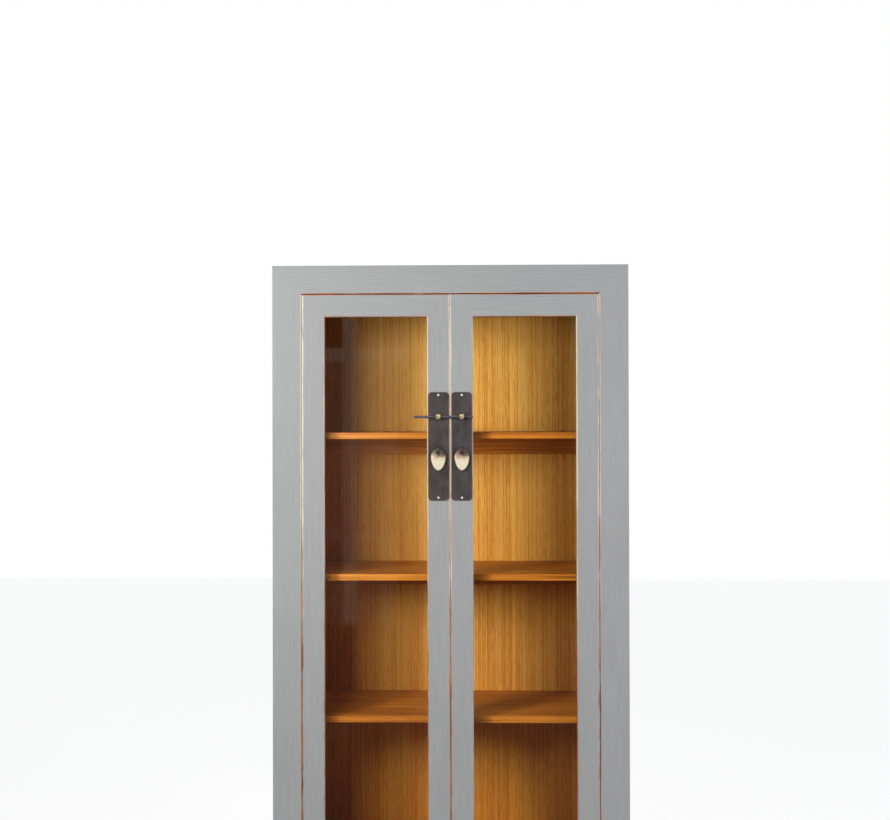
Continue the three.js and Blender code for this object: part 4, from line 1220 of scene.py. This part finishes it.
FLOOR_REACH = 9.0
FLOOR_Z = -0.2 * MM
FLOOR_SHADES = ((0.60, 0.60, 0.60, 1), (0.64, 0.64, 0.64, 1))
FLOOR_GLOW = 0.80
WHITE = (1, 1, 1, 1)
AMBIENT = (0.84, 0.93, 1.0, 1)
AMBIENT_STRENGTH = 0.075
ROOM_HALF_WIDTH = 7
ROOM_HEIGHT = 6.5
ROOM_END = -6.5
PANEL_PLANE = -6.45
CARPET_START = -0.3
CARPET_Z = 0.02
BACKDROP_SHADE = (0.055, 0.048, 0.042)
CARPET_SHADE = (0.15, 0.14, 0.13)

# The left and right, the foot and head, and the shade of each panel before the dark backdrop.
DIM_PANELS = (
    ((-1.30, -0.88), (0.03, 1.86), (0.30, 0.26, 0.23)),
    ((-0.88, -0.78), (0.03, 2.30), (0.80, 0.68, 0.55)),
    ((-1.30, -0.45), (1.86, 1.95), (0.75, 0.66, 0.56)),
    ((-0.78, -0.50), (0.03, 1.86), (0.38, 0.31, 0.25)),
    ((-1.30, -0.60), (0.62, 0.70), (0.60, 0.52, 0.44)),
)


def flat_card(name, corners, material):
    """A flat stage piece with four corners."""
    mesh = bpy.data.meshes.new(name)
    mesh.from_pydata(corners, [], [(0, 1, 2, 3)])
    mesh.materials.append(material)
    card = bpy.data.objects.new(name, mesh)
    bpy.context.scene.collection.objects.link(card)
    return card


def seen_directly(tree):
    """1 for rays from the camera, off gloss and through glass, and 0 for the light on things."""
    path = put(tree, "ShaderNodeLightPath")
    seen = maths(tree, "MAXIMUM", path.outputs["Is Camera Ray"], path.outputs["Is Glossy Ray"])
    return maths(tree, "MAXIMUM", seen, path.outputs["Is Transmission Ray"])


def pale_floor(name):
    """Pale grey paint with faint clouds, which glows to near white where it is seen directly."""
    material, tree, shader = finish(name)
    clouds = drawn_noise(tree, Z, across=3, along=3)
    feed(tree, shader, {"Base Color": between(tree, clouds, *FLOOR_SHADES), "Roughness": 0.7})
    strength = maths(tree, "MULTIPLY", seen_directly(tree), FLOOR_GLOW)
    glow = put(tree, "ShaderNodeEmission", {"Color": WHITE, "Strength": strength})
    show(tree, put(tree, "ShaderNodeAddShader", {0: shader.outputs[0], 1: glow.outputs[0]}))
    return material


def mirror_card(name, width, reach, height, shade):
    """A dim glowing card in front of the cabinet, which only gloss shows. The reach is how far
    off its foot and its head are, and the height is how high."""
    material, tree = unshaded(name)
    show(tree, put(tree, "ShaderNodeEmission", {"Color": (*shade, 1), "Strength": 1.0}))
    (left, right), (near, far), (foot, head) = width, reach, height
    card = flat_card(name, [
        (left, near, foot), (right, near, foot), (right, far, head), (left, far, head)], material)
    card.visible_camera = False
    card.visible_diffuse = False
    card.visible_transmission = False
    card.visible_shadow = False
    card.visible_volume_scatter = False


def linked_group(name, pieces, state):
    """A group for light linking: a lamp lights only its pieces, or with EXCLUDE all but them."""
    group = bpy.data.collections.new(name)
    for piece in pieces:
        group.objects.link(piece)
    for entry in group.collection_objects:
        entry.light_linking.link_state = state
    return group


def soft_lamp(name, place, aim, size, power, colour, lights):
    """A rectangular lamp that faces the point it is aimed at and lights its group."""
    lamp = bpy.data.lights.new(name, "AREA")
    lamp.shape = "RECTANGLE"
    lamp.size, lamp.size_y = size
    lamp.energy = power
    lamp.color = colour
    stand = bpy.data.objects.new(name, lamp)
    stand.location = place
    stand.rotation_euler = (Vector(aim) - Vector(place)).to_track_quat("-Z", "Y").to_euler()
    stand.light_linking.receiver_collection = lights
    bpy.context.scene.collection.objects.link(stand)


floor = flat_card("floor", [
    (-FLOOR_REACH, -FLOOR_REACH, FLOOR_Z), (FLOOR_REACH, -FLOOR_REACH, FLOOR_Z),
    (FLOOR_REACH, FLOOR_REACH, FLOOR_Z), (-FLOOR_REACH, FLOOR_REACH, FLOOR_Z)],
    pale_floor("floor paint"))
room_width = (-ROOM_HALF_WIDTH, ROOM_HALF_WIDTH)
mirror_card("dark_backdrop", room_width, (ROOM_END, ROOM_END), (CARPET_Z, ROOM_HEIGHT), BACKDROP_SHADE)
mirror_card("dim_carpet", room_width, (CARPET_START, ROOM_END), (CARPET_Z, CARPET_Z), CARPET_SHADE)
for number, (width, height, shade) in enumerate(DIM_PANELS):
    mirror_card(f"dim_panel_{number}", width, (PANEL_PLANE, PANEL_PLANE), height, shade)

kept_solids = ["back_panel", "floor_board", "upper_door_stop"]
kept_solids += [f"{word}_shelf_cleat_{number}" for number in SHELF_NUMBERS for _, word in SIDES]
inner_pieces = [frame["nodes"][name] for name in kept_solids]
inner_pieces += [bpy.data.objects[f"{kind}_{number}_piece"]
                 for number in SHELF_NUMBERS for kind in ("shelf", "rear_shelf_rail")]
inside = linked_group("seen through the glass", inner_pieces, "INCLUDE")
all_but_inside = linked_group("all but the inside", inner_pieces, "EXCLUDE")
all_but_back = linked_group("all but the back", [frame["nodes"]["back_panel"]], "EXCLUDE")
all_but_floor = linked_group("all but the floor", [floor], "EXCLUDE")

WARM_WHITE = (1.0, 0.99, 0.97)
soft_lamp("key", place=(-1.18, FRONT - 1.6, 1.79), aim=(0.0, FRONT, 1.2), size=(1.2, 0.8),
          power=26.5, colour=WARM_WHITE, lights=all_but_inside)
soft_lamp("right_fill", place=(2.6, FRONT - 1.6, 1.9), aim=(0.0, FRONT, 1.2), size=(1.6, 1.6),
          power=53, colour=(0.97, 0.98, 1.0), lights=all_but_back)
soft_lamp("rear_fill", place=(1.1, 2.9, 3.1), aim=(0.0, -FRONT, 1.1), size=(2.0, 1.6),
          power=62, colour=(1.0, 0.99, 0.98), lights=all_but_floor)
soft_lamp("side_window", place=(-1.17, FRONT - 1.41, 1.65), aim=(0.0, FRONT - 1.50, 1.65),
          size=(0.69, 0.75), power=83, colour=WARM_WHITE, lights=inside)
soft_lamp("far_window", place=(-1.01, FRONT - 1.99, 1.63), aim=(-1.80, FRONT - 1.37, 1.63),
          size=(2.08, 0.57), power=70, colour=WARM_WHITE, lights=inside)

world = bpy.data.worlds.new("surround")
bpy.context.scene.world = world
world.use_nodes = True
air = world.node_tree
air.nodes.remove(air.nodes["Background"])
ambient = put(air, "ShaderNodeBackground", {"Color": AMBIENT, "Strength": AMBIENT_STRENGTH})
white = put(air, "ShaderNodeBackground", {"Color": WHITE, "Strength": 1.0})
sockets = {0: seen_directly(air), 1: ambient.outputs[0], 2: white.outputs[0]}
show(air, put(air, "ShaderNodeMixShader", sockets), "World Output")

# Camera
# Eye level at three metres from the doors, turned a little to the left, with the cabinet's lower
# part below the frame.

IMAGE_WIDTH = 890
SENSOR = 36.0
FOCAL_PIXELS = 1337.8
YAW, PITCH, ROLL = 0.02457, 0.0068, -0.00221
CAMERA_PLACE = (62.4 * MM, FRONT - 3.0, 1454.2 * MM)

forward = Vector((-math.sin(YAW) * math.cos(PITCH), math.cos(YAW) * math.cos(PITCH), math.sin(PITCH)))
level_right = Vector((math.cos(YAW), math.sin(YAW), 0))
level_up = level_right.cross(forward)
right = math.cos(ROLL) * level_right + math.sin(ROLL) * level_up
up = -math.sin(ROLL) * level_right + math.cos(ROLL) * level_up
view = bpy.data.cameras.new("camera")
view.sensor_width = SENSOR
view.lens = FOCAL_PIXELS * SENSOR / IMAGE_WIDTH
view.dof.use_dof = False
camera = bpy.data.objects.new("camera", view)
turn = Matrix((right, up, -forward)).transposed().to_4x4()
camera.matrix_world = Matrix.Translation(CAMERA_PLACE) @ turn
bpy.context.scene.collection.objects.link(camera)
bpy.context.scene.camera = camera
bpy.context.scene.view_settings.view_transform = "Standard"
